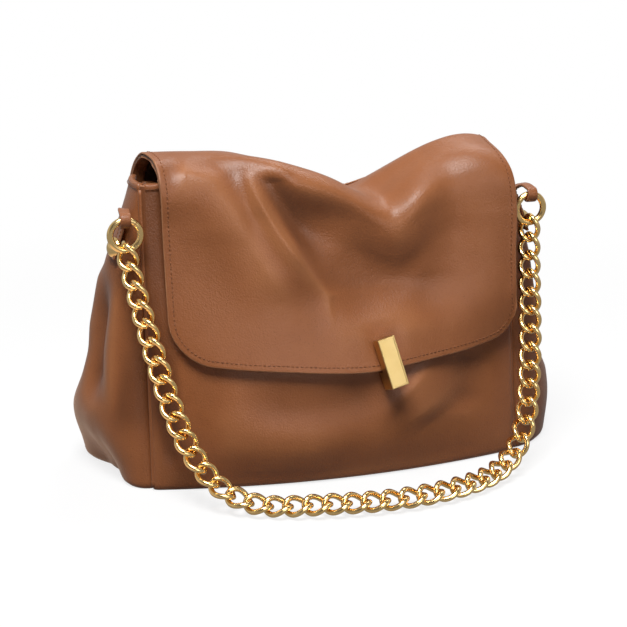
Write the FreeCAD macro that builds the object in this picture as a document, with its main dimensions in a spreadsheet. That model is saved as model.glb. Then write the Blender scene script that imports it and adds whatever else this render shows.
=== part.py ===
import FreeCAD, Part
import math
import os
import Sketcher

# Chain shoulder bag: soft leather body with bellows sides, a fold-over flap with a bar clasp,
# and a curb chain strap hung on two rings.
# The front is -Y, +X is to the right of someone facing the front, the base lies on Z = 0.

Vector = FreeCAD.Vector
Rotation = FreeCAD.Rotation
Placement = FreeCAD.Placement
doc = FreeCAD.newDocument("chain_shoulder_bag")

# Driving sizes, in millimetres and degrees
driving_sizes = {
    "panel_half_bottom": 132,
    "panel_half_top": 129,
    "mouth_height": 203,
    "base_front": 48,
    "base_back": 58,
    "mouth_front": 19,
    "mouth_back": 19,
    "front_belly": 28,
    "back_belly": 10,
    "gusset_bulge": 43,
    "leather": 1.6,
    "lining": 0.8,
    "ply_gap": 2.4,
    "seam_gap": 0.3,
    "cut_overrun": 20,
    "foot_tuck": 19,
    "foot_tuck_spread": 30,
    "heel_swell": 9,
    "heel_swell_spread": 24,
    "gusset_tuck": 9,
    "gusset_tuck_spread": 11,
    "flap_ridge": 6,
    "flap_ridge_spread": 11,
    "flap_band": 5,
    "flap_band_spread": 14,
    "flap_dip": 4,
    "flap_dip_spread": 14,
    "flap_flare": 8,
    "flap_flare_spread": 30,
    "fold_fade": 18,
    "seam_calm": 26,
    "rim_sag": 25,
    "crest_sag": 29,
    "sag_centre": 25,
    "sag_spread": 40,
    "base_board_thickness": 2,
    "board_margin": 6,
    "base_corner_cut": 5,
    "pocket_half_width": 75,
    "pocket_bottom": 70,
    "pocket_height": 85,
    "binding_height": 9,
    "flap_margin": 7.5,
    "flap_shift": 6,
    "flap_gap": 5,
    "flap_ply_gap": 0.3,
    "hem_height": 79,
    "hem_rise": 9,
    "hem_corner": 27,
    "crown_rise": 43.36,
    "crest_forward": 3,
    "fold_gap": 0.4,
    "clasp_x": 26.5,
    "clasp_tilt": 12,
    "clasp_length": 34,
    "clasp_width": 12.5,
    "clasp_depth": 9,
    "clasp_rim": 1.1,
    "inlay_depth": 0.6,
    "clasp_chamfer": 0.5,
    "clasp_clearance": 0.3,
    "clasp_magnet_width": 8,
    "clasp_magnet_height": 12,
    "clasp_magnet_thickness": 3,
    "back_plate_thickness": 1.2,
    "plate_clearance": 2,
    "screw_radius": 1.1,
    "screw_head_radius": 1.9,
    "screw_head_thickness": 0.7,
    "screw_length": 9,
    "screw_pitch": 8,
    "fit_clearance": 0.1,
    "keeper_width": 11,
    "keeper_height": 12,
    "keeper_offset": 5.5,
    "keeper_wall": 1,
    "rivet_radius": 1,
    "rivet_pitch": 7,
    "keeper_washer_thickness": 0.7,
    "keeper_washer_clearance": 1.6,
    "ring_outset": 6.43,
    "ring_y": 32,
    "ring_height": 174.5,
    "ring_radius": 10,
    "ring_wire": 4.5,
    "ring_split": 0.5,
    "ring_split_angle": 50,
    "tab_width": 11,
    "tab_thickness": 2,
    "tab_clearance": 0.3,
    "tail_clearance": 0.7,
    "tab_tail_drop": 20.5,
    "tab_tail_depth": 12,
    "tab_tail_setback": 5,
    "tab_root_thickness": 3.4,
    "stud_radius": 6.6,
    "stud_dome": 3.2,
    "stud_rim": 1,
    "stud_shank": 1.6,
    "stud_drop": 13.5,
    "stud_clearance": 0.5,
    "stud_washer_radius": 4,
    "stud_washer_clearance": 0.5,
    "stud_washer_thickness": 0.6,
    "link_pitch": 12.8,
    "link_wire": 3.7,
    "link_width": 16.4,
    "link_slack": 0.6,
    "link_twist": -48,
    "strap_reach": 120,
    "strap_floor_height": 7.7,
}

sheet = doc.addObject("Spreadsheet::Sheet", "sizes")
for row, (alias, value) in enumerate(driving_sizes.items(), start=1):
    sheet.set(f"A{row}", alias)
    sheet.set(f"B{row}", str(value))
    sheet.setAlias(f"B{row}", alias)
doc.recompute()


def size(name):
    return float(sheet.get(name))


pieces = []


def keep(piece, label):
    piece.Label = label
    pieces.append(piece)
    return piece


def feature(name, shape):
    item = doc.addObject("Part::Feature", name)
    item.Shape = shape
    return item


def cut(name, base, tool):
    item = doc.addObject("Part::Cut", name)
    item.Base = base
    item.Tool = tool
    return item


def box(name, length, width, height):
    item = doc.addObject("Part::Box", name)
    item.setExpression("Length", length)
    item.setExpression("Width", width)
    item.setExpression("Height", height)
    return item


def cylinder(name, radius, height):
    item = doc.addObject("Part::Cylinder", name)
    item.setExpression("Radius", radius)
    item.setExpression("Height", height)
    return item


def bind_base(item, x_rule, y_rule, z_rule):
    for axis, rule in zip("xyz", (x_rule, y_rule, z_rule)):
        item.setExpression(f"Placement.Base.{axis}", rule)


def lay(item, place):
    # An item built at its own origin is moved into its seat on the bag.
    item.Placement = place.multiply(item.Placement)


# Shape of the soft walls: each level is a share of the mouth height, and each bulge follows a share
station_shares = (0, 0.15, 0.3, 0.4, 0.51, 0.63, 0.75, 0.88, 1)
front_belly_shares = (0.6, 0.93, 1, 0.93, 0.68, 0.4, 0.19, 0.08, 0.04)
back_belly_shares = (0.6, 0.93, 1, 0.93, 0.75, 0.5, 0.3, 0.15, 0.1)
gusset_bulge_shares = (0.93, 1, 0.9, 0.83, 0.73, 0.62, 0.47, 0.26, 0.08)
fold_share = 0.88
clasp_share = 0.4
left = -1
right = 1

height = size("mouth_height")
leather = size("leather")
seam_gap = size("seam_gap")
lining_outer = -(leather + size("ply_gap"))
lining_inner = lining_outer - size("lining")
side_gap = size("stud_washer_clearance") + size("stud_washer_thickness") + seam_gap
side_lining_outer = -(leather + side_gap)
side_lining_inner = side_lining_outer - size("lining")


def ease(share):
    share = min(max(share, 0), 1)
    return share * share * (3 - 2 * share)


def from_table(shares, level):
    for low, high, first, last in zip(station_shares, station_shares[1:], shares, shares[1:]):
        if level <= high:
            return first + (last - first) * (level - low) / (high - low)
    return shares[-1]


def panel_half(level):
    return size("panel_half_bottom") + (size("panel_half_top") - size("panel_half_bottom")) * level


def front_edge(level):
    return -(size("base_front") + (size("mouth_front") - size("base_front")) * level)


def back_edge(level):
    return size("base_back") + (size("mouth_back") - size("base_back")) * level


def wall_arc(wall, level):
    # Each wall is an arc at each level: its centre, radius, outward and sideways directions and half chord
    rise = Vector(0, 0, height * level)
    if wall in ("front", "flap", "back"):
        table, belly, toward = {
            "front": (front_belly_shares, size("front_belly"), -1),
            "flap": (front_belly_shares, size("front_belly"), -1),
            "back": (back_belly_shares, size("back_belly"), 1),
        }[wall]
        bulge = belly * from_table(table, level)
        half_chord = panel_half(level)
        edge = Vector(0, front_edge(level) if toward < 0 else back_edge(level), 0)
        outward = Vector(0, toward, 0)
        sideways = Vector(1, 0, 0)
    else:
        toward = left if wall == "left" else right
        bulge = size("gusset_bulge") * from_table(gusset_bulge_shares, level)
        inset = leather + seam_gap
        half_chord = (back_edge(level) - front_edge(level)) / 2 - inset
        edge = Vector(toward * panel_half(level), (back_edge(level) + front_edge(level)) / 2, 0)
        outward = Vector(toward, 0, 0)
        sideways = Vector(0, 1, 0)
    radius = (half_chord ** 2 + bulge ** 2) / (2 * bulge)
    centre = edge + rise - outward * (radius - bulge)
    return centre, radius, outward, sideways, half_chord


# Soft folds raised on a wall or pressed into it. Each path is in shares of the half width and of the height,
# with the share of its length over which it fades in and out.
gusset_tuck_shares = ((-0.2, 0.74), (-0.2, 0.62), (-0.19, 0.49), (-0.31, 0.345), (-0.43, 0.23))
foot_tuck_shares = ((-0.7, 0), (-0.15, 0))
heel_swell_shares = ((0.7, 0), (0.66, 0.2))
flap_ridge_shares = ((-0.36, 0.93), (-0.225, 0.8), (-0.14, 0.74), (-0.054, 0.685), (0.03, 0.63))
flap_band_shares = ((-0.65, 0.93), (-0.46, 0.73), (-0.38, 0.64), (-0.315, 0.566), (-0.247, 0.49))
flap_dip_shares = ((-0.23, 0.9), (-0.04, 0.81), (0.19, 0.79), (0.46, 0.79), (0.66, 0.78))
flap_flare_shares = ((1, 0.95), (1, 0.35))
soft_folds = {
    "left": (
        ("gusset_tuck", -1, gusset_tuck_shares, 0.4),
        ("foot_tuck", -1, foot_tuck_shares, 0),
        ("heel_swell", 1, heel_swell_shares, 0),
    ),
    "right": (("gusset_tuck", -1, gusset_tuck_shares, 0.4),),
    "flap": (
        ("flap_ridge", 1, flap_ridge_shares, 0.3),
        ("flap_band", 1, flap_band_shares, 0.25),
        ("flap_dip", -1, flap_dip_shares, 0.25),
        ("flap_flare", 1, flap_flare_shares, 0.2),
    ),
}


def path_reach(path, across, up):
    # Distance from a place to a path, and how far along the path its nearest point lies
    runs = [math.dist(first, last) for first, last in zip(path, path[1:])]
    nearest = None
    passed = 0
    for first, last, run in zip(path, path[1:], runs):
        step = (last[0] - first[0], last[1] - first[1])
        share = ((across - first[0]) * step[0] + (up - first[1]) * step[1]) / run ** 2
        share = min(max(share, 0), 1)
        away = math.dist((across, up), (first[0] + share * step[0], first[1] + share * step[1]))
        if nearest is None or away < nearest[0]:
            nearest = (away, (passed + share * run) / sum(runs))
        passed += run
    return nearest


def fold_rise(wall, level, lateral):
    total = 0
    up = height * level
    for name, toward, path_shares, fade_share in soft_folds.get(wall, ()):
        path = [(share * wall_arc(wall, rise)[4], rise * height) for share, rise in path_shares]
        away, along = path_reach(path, lateral, up)
        fade = 1
        if fade_share > 0:
            fade = ease(along / fade_share) * ease((1 - along) / fade_share)
        total += toward * size(name) * fade * math.exp(-(away / size(f"{name}_spread")) ** 2)
    if wall == "flap":
        # Calm at the fold line and round the clasp
        total *= ease((height * fold_share - up) / size("fold_fade"))
        from_clasp = math.dist((lateral, up), (size("clasp_x"), clasp_share * height))
        total *= ease(from_clasp / size("clasp_length") - 1)
    else:
        # Calm at the seams
        total *= ease((wall_arc(wall, level)[4] - abs(lateral)) / size("seam_calm"))
    return total


def wall_point(wall, level, lateral, offset):
    centre, radius, outward, sideways, half_chord = wall_arc(wall, level)
    angle = math.asin(lateral / radius)
    reach = radius + offset + fold_rise(wall, level, lateral)
    return centre + (outward * math.cos(angle) + sideways * math.sin(angle)) * reach


fold_spans = 32


def wall_curve(wall, level, offset, low, high):
    # An arc where the wall is plain, and a smooth curve where folds cross it
    spans = fold_spans if wall in soft_folds else 2
    points = [wall_point(wall, level, low + (high - low) * span / spans, offset) for span in range(spans + 1)]
    if wall not in soft_folds:
        return Part.Arc(*points).toShape()
    curve = Part.BSplineCurve()
    curve.interpolate(Points=points, Parameters=[span / spans for span in range(spans + 1)])
    return curve.toShape()


def wall_normal(wall, level, lateral):
    # The outward normal, from the neighbouring levels and sideways points
    step_share = 0.05
    up = wall_point(wall, level + step_share, lateral, 0) - wall_point(wall, level - step_share, lateral, 0)
    centre, radius, outward, sideways, half_chord = wall_arc(wall, level)
    angle = math.asin(lateral / radius)
    along = sideways * math.cos(angle) - outward * math.sin(angle)
    normal = up.cross(along)
    if normal.dot(outward) < 0:
        normal = -normal
    return normal.normalize()


def band_wire(wall, level, outer, inner, low, high):
    start, end = (wall_point(wall, level, lateral, outer) for lateral in (low, high))
    inner_start, inner_end = (wall_point(wall, level, lateral, inner) for lateral in (low, high))
    edges = [
        wall_curve(wall, level, outer, low, high),
        Part.makeLine(end, inner_end),
        wall_curve(wall, level, inner, high, low),
        Part.makeLine(inner_start, start),
    ]
    return Part.Wire(edges)


def wall_sheet(wall, levels, outer, inner, inset):
    wires = []
    for level in levels:
        reach = wall_arc(wall, level)[4] - inset
        wires.append(band_wire(wall, level, outer, inner, -reach, reach))
    return Part.makeLoft(wires, True, False)


def wall_patch(wall, levels, outer, inner, low, high):
    # A patch between two fixed places across the wall, measured in its sideways direction
    wires = []
    for level in levels:
        centre, radius, outward, sideways, half_chord = wall_arc(wall, level)
        middle = centre.dot(sideways)
        wires.append(band_wire(wall, level, outer, inner, low - middle, high - middle))
    return Part.makeLoft(wires, True, False)


def levels_between(low, high):
    inside = [level for level in station_shares if low < level < high]
    return [low] + inside + [high]


def sag(x):
    return math.exp(-((x - size("sag_centre")) / size("sag_spread")) ** 2)


# The mouth's rim dips in the middle, where the soft top sinks
def rim_cutter(name):
    reach = max(size("panel_half_bottom"), size("panel_half_top")) + size("cut_overrun")
    across_shares = (-1, -0.6, -0.35, -0.15, 0, 0.15, 0.3, 0.45, 0.7, 1)
    points = []
    for share in across_shares:
        points.append(Vector(reach * share, 0, height - size("rim_sag") * sag(reach * share)))
    curve = Part.BSplineCurve()
    curve.interpolate(points)
    top = height + size("cut_overrun")
    corners = [points[-1], Vector(reach, 0, top), Vector(-reach, 0, top), points[0]]
    wire = Part.Wire([curve.toShape()] + Part.makePolygon(corners).Edges)
    depth = 2 * (size("base_front") + size("base_back"))
    solid = Part.Face(wire).extrude(Vector(0, depth, 0))
    solid.translate(Vector(0, -depth / 2, 0))
    return feature(name, solid)


# Leather walls and their linings
all_levels = list(station_shares)
lining_floor_share = 0.035
lining_levels = levels_between(lining_floor_share, 1)
# The gussets have closer levels, which hold the folds and lie true under the tabs
gusset_spans = 20
gusset_levels = [span / gusset_spans for span in range(gusset_spans + 1)]
gusset_lining_levels = [lining_floor_share] + gusset_levels[1:]
lining_inset = leather + size("ply_gap") + size("lining") + seam_gap

clasp_level_point = wall_point("front", clasp_share, size("clasp_x"), 0)
clasp_normal = wall_normal("front", clasp_share, size("clasp_x"))
flap_lining_inner = size("flap_gap")
flap_lining_outer = flap_lining_inner + size("lining")
flap_inner = flap_lining_outer + size("flap_ply_gap")
flap_outer = flap_inner + leather


def clasp_frame(offset):
    # Local +Z points out of the flap, local +X is level across the bag and local +Y runs up the flap
    across = Vector(0, 0, 1).cross(clasp_normal).normalize()
    turn = Rotation(across, clasp_normal.cross(across), clasp_normal, "ZXY")
    turn = Rotation(clasp_normal, size("clasp_tilt")).multiply(turn)
    return Placement(clasp_level_point + clasp_normal * offset, turn)


# Rivet holes for the keeper, drilled through the front panel
def keeper_drills(name):
    drills = []
    for side in (left, right):
        drill = Part.makeCylinder(
            size("rivet_radius") + size("fit_clearance"),
            2 * size("cut_overrun"),
            Vector(0, side * size("rivet_pitch") / 2 - keeper_drop, -size("cut_overrun")),
        )
        drill.Placement = clasp_frame(0)
        drills.append(drill)
    return feature(name, Part.makeCompound(drills))


keeper_drop = size("keeper_offset") + size("keeper_height") / 2

front_sheet = feature("front_sheet", wall_sheet("front", all_levels, 0, -leather, 0))
front_rimmed = cut("front_rimmed", front_sheet, rim_cutter("front_rim"))
keep(cut("front_panel_drilled", front_rimmed, keeper_drills("front_drills")), "front_panel")

back_levels = levels_between(0, fold_share)
keep(feature("back_sheet", wall_sheet("back", back_levels, 0, -leather, 0)), "back_panel")

front_lining_sheet = wall_sheet("front", lining_levels, lining_outer, lining_inner, lining_inset)
front_lining_item = feature("front_lining_sheet", front_lining_sheet)
keep(cut("front_lining_rimmed", front_lining_item, rim_cutter("front_lining_rim")), "front_lining")
back_lining_sheet = wall_sheet("back", lining_levels, lining_outer, lining_inner, lining_inset)
back_lining_item = feature("back_lining_sheet", back_lining_sheet)
keep(cut("back_lining_rimmed", back_lining_item, rim_cutter("back_lining_rim")), "back_lining")


# Tab studs: a dome outside, a shank through tab and gusset, and a washer inside
def stud_seat(side):
    wall = "left" if side == left else "right"
    level = (size("ring_height") - size("stud_drop")) / height
    centre, radius, outward, sideways, half_chord = wall_arc(wall, level)
    lateral = tail_middle - centre.dot(sideways)
    return wall, level, lateral


def stud_frame(side, offset):
    wall, level, lateral = stud_seat(side)
    normal = wall_normal(wall, level, lateral)
    return Placement(wall_point(wall, level, lateral, 0) + normal * offset, Rotation(Vector(0, 0, 1), normal))


def stud_drill(name, side):
    drill = Part.makeCylinder(
        size("stud_shank") + size("fit_clearance"),
        2 * size("cut_overrun"),
        Vector(0, 0, -size("cut_overrun")),
    )
    drill.Placement = stud_frame(side, 0)
    return feature(name, drill)


tail_middle = -(size("tab_tail_setback") + size("tab_tail_depth") / 2)

for side, wall in ((left, "left"), (right, "right")):
    gusset = feature(f"{wall}_sheet", wall_sheet(wall, gusset_levels, 0, -leather, 0))
    keep(cut(f"{wall}_gusset_drilled", gusset, stud_drill(f"{wall}_gusset_drill", side)), f"{wall}_gusset")
    skin = wall_sheet(wall, gusset_lining_levels, side_lining_outer, side_lining_inner, lining_inset)
    keep(feature(f"{wall}_skin", skin), f"{wall}_gusset_lining")


# Base: outer leather, a stiffening board on it and a lining over the board
def base_outline(inset, level):
    # Four arcs that follow the foot of the walls, joined across the corners
    ends = []
    arcs = []
    for wall, toward in (("front", 1), ("right", 1), ("back", -1), ("left", -1)):
        reach = toward * (wall_arc(wall, 0)[4] - inset - size("base_corner_cut"))
        lift = Vector(0, 0, level)
        arc = wall_curve(wall, 0, -inset, -reach, reach)
        arc.translate(lift)
        arcs.append(arc)
        ends.append(tuple(wall_point(wall, 0, reach * share, -inset) + lift for share in (-1, 1)))
    edges = []
    for number, arc in enumerate(arcs):
        edges.append(arc)
        edges.append(Part.makeLine(ends[number][1], ends[(number + 1) % 4][0]))
    return Part.Face(Part.Wire(edges))


def base_sheet(inset, bottom, thickness):
    return base_outline(inset, bottom).extrude(Vector(0, 0, thickness))


base_inset = leather + seam_gap + seam_gap
board_bottom = leather
base_lining_bottom = board_bottom + size("base_board_thickness")
keep(feature("base_leather", base_sheet(base_inset, 0, leather)), "base_panel")
board_shape = base_sheet(size("board_margin"), board_bottom, size("base_board_thickness"))
keep(feature("base_stiffener", board_shape), "base_board")
keep(feature("base_skin", base_sheet(size("board_margin"), base_lining_bottom, size("lining"))), "base_lining")


# Slip pocket on the back lining, with a leather binding along its top edge
def pocket_band(low, high, outer, thickness):
    half = size("pocket_half_width")
    levels = levels_between(low / height, high / height)
    return wall_patch("back", levels, outer, outer - thickness, -half, half)


pocket_outer = lining_inner - seam_gap
pocket_top = size("pocket_bottom") + size("pocket_height")
pocket_shape = pocket_band(size("pocket_bottom"), pocket_top, pocket_outer, size("lining"))
keep(feature("pocket_sheet", pocket_shape), "slip_pocket")
binding_outer = pocket_outer - size("lining") - seam_gap
binding_shape = pocket_band(pocket_top - size("binding_height"), pocket_top, binding_outer, leather)
keep(feature("binding_sheet", binding_shape), "pocket_binding")

# Flap: a crown arched over the mouth and a face that hangs over the front
flap_half = size("panel_half_top") - size("flap_margin")
flap_left = size("flap_shift") - flap_half
flap_right = size("flap_shift") + flap_half
fold_height = height * fold_share


def arch_wire(x, offset_outer, offset_inner):
    front = wall_point("front", fold_share, x, flap_outer).y
    back = wall_point("back", fold_share, x, 0).y
    crest = fold_height + size("crown_rise") - size("crest_sag") * sag(x)
    crest_y = -size("crest_forward")
    bottom = fold_height + size("fold_gap")
    rise = crest - bottom

    def arc_ends(reach):
        radius = (reach ** 2 + rise ** 2) / (2 * rise)
        return radius, crest - radius

    def foot(radius, centre_z, toward):
        return crest_y + toward * math.sqrt(radius ** 2 - (bottom - centre_z) ** 2)

    def half_arch(reach, toward, offset):
        radius, centre_z = arc_ends(reach)
        radius = radius + offset
        foot_y = foot(radius, centre_z, toward)
        low_angle = math.atan2(bottom - centre_z, abs(foot_y - crest_y))
        middle_angle = (low_angle + math.pi / 2) / 2
        middle_y = crest_y + toward * radius * math.cos(middle_angle)
        middle = Vector(x, middle_y, centre_z + radius * math.sin(middle_angle))
        return Vector(x, foot_y, bottom), middle, Vector(x, crest_y, centre_z + radius)

    back_outer = half_arch(back - crest_y, 1, offset_outer)
    front_outer = half_arch(crest_y - front, -1, offset_outer)
    back_inner = half_arch(back - crest_y, 1, offset_inner)
    front_inner = half_arch(crest_y - front, -1, offset_inner)
    edges = [
        Part.Arc(*back_outer).toShape(),
        Part.Arc(front_outer[2], front_outer[1], front_outer[0]).toShape(),
        Part.makeLine(front_outer[0], front_inner[0]),
        Part.Arc(*front_inner).toShape(),
        Part.Arc(back_inner[2], back_inner[1], back_inner[0]).toShape(),
        Part.makeLine(back_inner[0], back_outer[0]),
    ]
    return Part.Wire(edges)


crown_spans = 14


def crown_sheet(offset_outer, offset_inner):
    step = (flap_right - flap_left) / crown_spans
    wires = [arch_wire(flap_left + step * span, offset_outer, offset_inner) for span in range(crown_spans + 1)]
    return Part.makeLoft(wires, True, True)


crown_lining_outer = -(leather + size("flap_ply_gap"))
keep(feature("crown_sheet", crown_sheet(0, -leather)), "flap_crown")
crown_skin = crown_sheet(crown_lining_outer, crown_lining_outer - size("lining"))
keep(feature("crown_skin", crown_skin), "crown_lining")


def flap_outline(name):
    top = fold_height
    side_bottom = size("hem_height") + size("hem_rise") + size("hem_corner")
    hem_end = size("hem_height") + size("hem_rise")
    corner = size("hem_corner")
    tuck = corner * (1 - math.sqrt(0.5))
    middle = (flap_left + flap_right) / 2
    points = {
        "left_top": Vector(flap_left, 0, top),
        "left_low": Vector(flap_left, 0, side_bottom),
        "left_bend": Vector(flap_left + tuck, 0, hem_end + tuck),
        "left_hem": Vector(flap_left + corner, 0, hem_end),
        "hem": Vector(middle, 0, size("hem_height")),
        "right_hem": Vector(flap_right - corner, 0, hem_end),
        "right_bend": Vector(flap_right - tuck, 0, hem_end + tuck),
        "right_low": Vector(flap_right, 0, side_bottom),
        "right_top": Vector(flap_right, 0, top),
    }
    edges = [
        Part.makeLine(points["left_top"], points["left_low"]),
        Part.Arc(points["left_low"], points["left_bend"], points["left_hem"]).toShape(),
        Part.Arc(points["left_hem"], points["hem"], points["right_hem"]).toShape(),
        Part.Arc(points["right_hem"], points["right_bend"], points["right_low"]).toShape(),
        Part.makeLine(points["right_low"], points["right_top"]),
        Part.makeLine(points["right_top"], points["left_top"]),
    ]
    depth = size("base_front") + size("front_belly") + size("cut_overrun")
    return feature(name, Part.Face(Part.Wire(edges)).extrude(Vector(0, -depth, 0)))


# Clasp screws pass through the flap at these places up and down the bar
def clasp_drills(name):
    drills = []
    for number in (0, 1):
        drill = Part.makeCylinder(
            size("screw_radius") + size("fit_clearance"),
            2 * size("cut_overrun"),
            Vector(0, screw_low + number * size("screw_pitch"), -size("cut_overrun")),
        )
        drill.Placement = clasp_frame(0)
        drills.append(drill)
    return feature(name, Part.makeCompound(drills))


screw_low = size("screw_head_radius") + 2 * size("clasp_rim")
face_spans = 14
hem_level = (size("hem_height") - size("cut_overrun")) / height
face_levels = [hem_level + (fold_share - hem_level) * span / face_spans for span in range(face_spans + 1)]


def flap_sheet(name, outer, inner):
    sheet_item = feature(f"{name}_sheet", wall_sheet("flap", face_levels, outer, inner, 0))
    common = doc.addObject("Part::Common", f"{name}_shape")
    common.Base = sheet_item
    common.Tool = flap_outline(f"{name}_outline")
    keep(cut(f"{name}_drilled", common, clasp_drills(f"{name}_drills")), name)


flap_sheet("flap_face", flap_outer, flap_inner)
flap_sheet("face_lining", flap_lining_outer, flap_lining_inner)


# Sketch helpers for the metal fittings, all drawn on their own body's base plane
def base_plane(body):
    return next(item for item in body.Origin.OriginFeatures if item.Role == "XY_Plane")


def new_sketch(body, name, rise, shift):
    sketch = body.newObject("Sketcher::SketchObject", name)
    sketch.AttachmentSupport = [(base_plane(body), "")]
    sketch.MapMode = "FlatFace"
    sketch.setExpression("AttachmentOffset.Base.y", shift)
    sketch.setExpression("AttachmentOffset.Base.z", rise)
    return sketch


def rectangle_sketch(body, name, width, tall, rise="0", shift="0"):
    sketch = new_sketch(body, name, rise, shift)
    corners = [Vector(-1, -1, 0), Vector(1, -1, 0), Vector(1, 1, 0), Vector(-1, 1, 0)]
    for number in range(4):
        sketch.addGeometry(Part.LineSegment(corners[number], corners[(number + 1) % 4]))
    for number in range(4):
        sketch.addConstraint(Sketcher.Constraint("Coincident", number, 2, (number + 1) % 4, 1))
    for number, kind in enumerate(("Horizontal", "Vertical", "Horizontal", "Vertical")):
        sketch.addConstraint(Sketcher.Constraint(kind, number))
    sketch.addConstraint(Sketcher.Constraint("Symmetric", 0, 1, 2, 1, -1, 1))
    across = sketch.addConstraint(Sketcher.Constraint("DistanceX", 0, 1, 0, 2, 2))
    upright = sketch.addConstraint(Sketcher.Constraint("DistanceY", 1, 1, 1, 2, 2))
    sketch.setExpression(f"Constraints[{across}]", width)
    sketch.setExpression(f"Constraints[{upright}]", tall)
    return sketch


def circle_sketch(body, name, radius, rise="0", shift="0"):
    sketch = new_sketch(body, name, rise, shift)
    sketch.addGeometry(Part.Circle(Vector(0, 0, 0), Vector(0, 0, 1), 1))
    sketch.addConstraint(Sketcher.Constraint("Coincident", 0, 3, -1, 1))
    round_rule = sketch.addConstraint(Sketcher.Constraint("Radius", 0, 1))
    sketch.setExpression(f"Constraints[{round_rule}]", radius)
    return sketch


def pad(body, name, sketch, length):
    item = body.newObject("PartDesign::Pad", name)
    item.Profile = sketch
    item.setExpression("Length", length)
    sketch.Visibility = False
    return item


def pocket(body, name, sketch, length, upward):
    item = body.newObject("PartDesign::Pocket", name)
    item.Profile = sketch
    item.setExpression("Length", length)
    item.Reversed = upward
    sketch.Visibility = False
    return item


# Sums that several fittings share
hem_stack = "(sizes.flap_gap + sizes.lining + sizes.flap_ply_gap + sizes.leather)"
plate_stack = "(sizes.back_plate_thickness + sizes.plate_clearance)"
screw_grip = f"({plate_stack} + sizes.lining + sizes.flap_ply_gap + sizes.leather + sizes.clasp_clearance)"
screw_low_rule = "(sizes.screw_head_radius + 2 * sizes.clasp_rim)"
magnet_place = "-(sizes.clasp_length / 2 - 2 * sizes.clasp_rim - sizes.clasp_magnet_height / 2)"
keeper_place = "-(sizes.keeper_offset + sizes.keeper_height / 2)"

# Clasp bar: a block with a sunk face, a magnet pocket and two screw holes in its back
bar = doc.addObject("PartDesign::Body", "clasp_bar_body")
bar_outline = rectangle_sketch(bar, "bar_outline", "sizes.clasp_width", "sizes.clasp_length")
bar_block = pad(bar, "bar_block", bar_outline, "sizes.clasp_depth")
doc.recompute()
bar_rim = bar.newObject("PartDesign::Chamfer", "bar_rim")
bar_rim.Base = (bar_block, [f"Edge{number}" for number, edge in enumerate(bar_block.Shape.Edges, start=1)
                            if edge.BoundBox.ZMin > size("clasp_depth") / 2])
bar_rim.setExpression("Size", "sizes.clasp_chamfer")
sunk_outline = rectangle_sketch(
    bar,
    "sunk_outline",
    "sizes.clasp_width - 2 * sizes.clasp_rim",
    "sizes.clasp_length - 2 * sizes.clasp_rim",
    "sizes.clasp_depth",
)
pocket(bar, "sunk_face", sunk_outline, "2 * sizes.inlay_depth", False)
magnet_outline = rectangle_sketch(
    bar,
    "magnet_outline",
    "sizes.clasp_magnet_width + 2 * sizes.fit_clearance",
    "sizes.clasp_magnet_height + 2 * sizes.fit_clearance",
    "0",
    magnet_place,
)
pocket(bar, "magnet_seat", magnet_outline, "sizes.clasp_magnet_thickness + sizes.fit_clearance", True)
for number in (0, 1):
    place = f"{screw_low_rule} + {number} * sizes.screw_pitch"
    hole = circle_sketch(bar, f"screw_hole_{number}", "sizes.screw_radius + sizes.fit_clearance", "0", place)
    depth = f"sizes.screw_length - {screw_grip} + sizes.clasp_clearance"
    pocket(bar, f"screw_bore_{number}", hole, depth, True)
bar_seat = flap_outer + size("clasp_clearance")
lay(keep(bar, "clasp_bar"), clasp_frame(bar_seat))

inlay = box(
    "inlay_plate",
    "sizes.clasp_width - 2 * (sizes.clasp_rim + sizes.fit_clearance)",
    "sizes.clasp_length - 2 * (sizes.clasp_rim + sizes.fit_clearance)",
    "sizes.inlay_depth",
)
inlay.Placement = Placement(
    Vector(
        size("clasp_rim") + size("fit_clearance") - size("clasp_width") / 2,
        size("clasp_rim") + size("fit_clearance") - size("clasp_length") / 2,
        size("clasp_depth") - 2 * size("inlay_depth"),
    ),
    Rotation(),
)
lay(keep(inlay, "clasp_inlay"), clasp_frame(bar_seat))

magnet_centre = -(size("clasp_length") / 2 - 2 * size("clasp_rim") - size("clasp_magnet_height") / 2)
magnet = box("bar_magnet", "sizes.clasp_magnet_width", "sizes.clasp_magnet_height", "sizes.clasp_magnet_thickness")
magnet_corner_x = -size("clasp_magnet_width") / 2
magnet_corner_y = magnet_centre - size("clasp_magnet_height") / 2
magnet.Placement = Placement(Vector(magnet_corner_x, magnet_corner_y, 0), Rotation())
lay(keep(magnet, "clasp_magnet"), clasp_frame(bar_seat))

# Clasp back plate inside the flap, and the screws that draw the bar against it
plate_seat = flap_lining_inner - size("plate_clearance") - size("back_plate_thickness")
plate = doc.addObject("PartDesign::Body", "back_plate_body")
plate_middle = f"{screw_low_rule} + sizes.screw_pitch / 2"
plate_tall = f"sizes.screw_pitch + 2 * {screw_low_rule} - 2 * sizes.clasp_rim"
plate_outline = rectangle_sketch(plate, "plate_outline", "sizes.clasp_width", plate_tall, "0", plate_middle)
pad(plate, "plate_block", plate_outline, "sizes.back_plate_thickness")
for number in (0, 1):
    place = f"{screw_low_rule} + {number} * sizes.screw_pitch"
    hole = circle_sketch(plate, f"plate_hole_{number}", "sizes.screw_radius + sizes.fit_clearance", "0", place)
    pocket(plate, f"plate_bore_{number}", hole, "sizes.back_plate_thickness", True)
lay(keep(plate, "clasp_back_plate"), clasp_frame(plate_seat))

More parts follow.
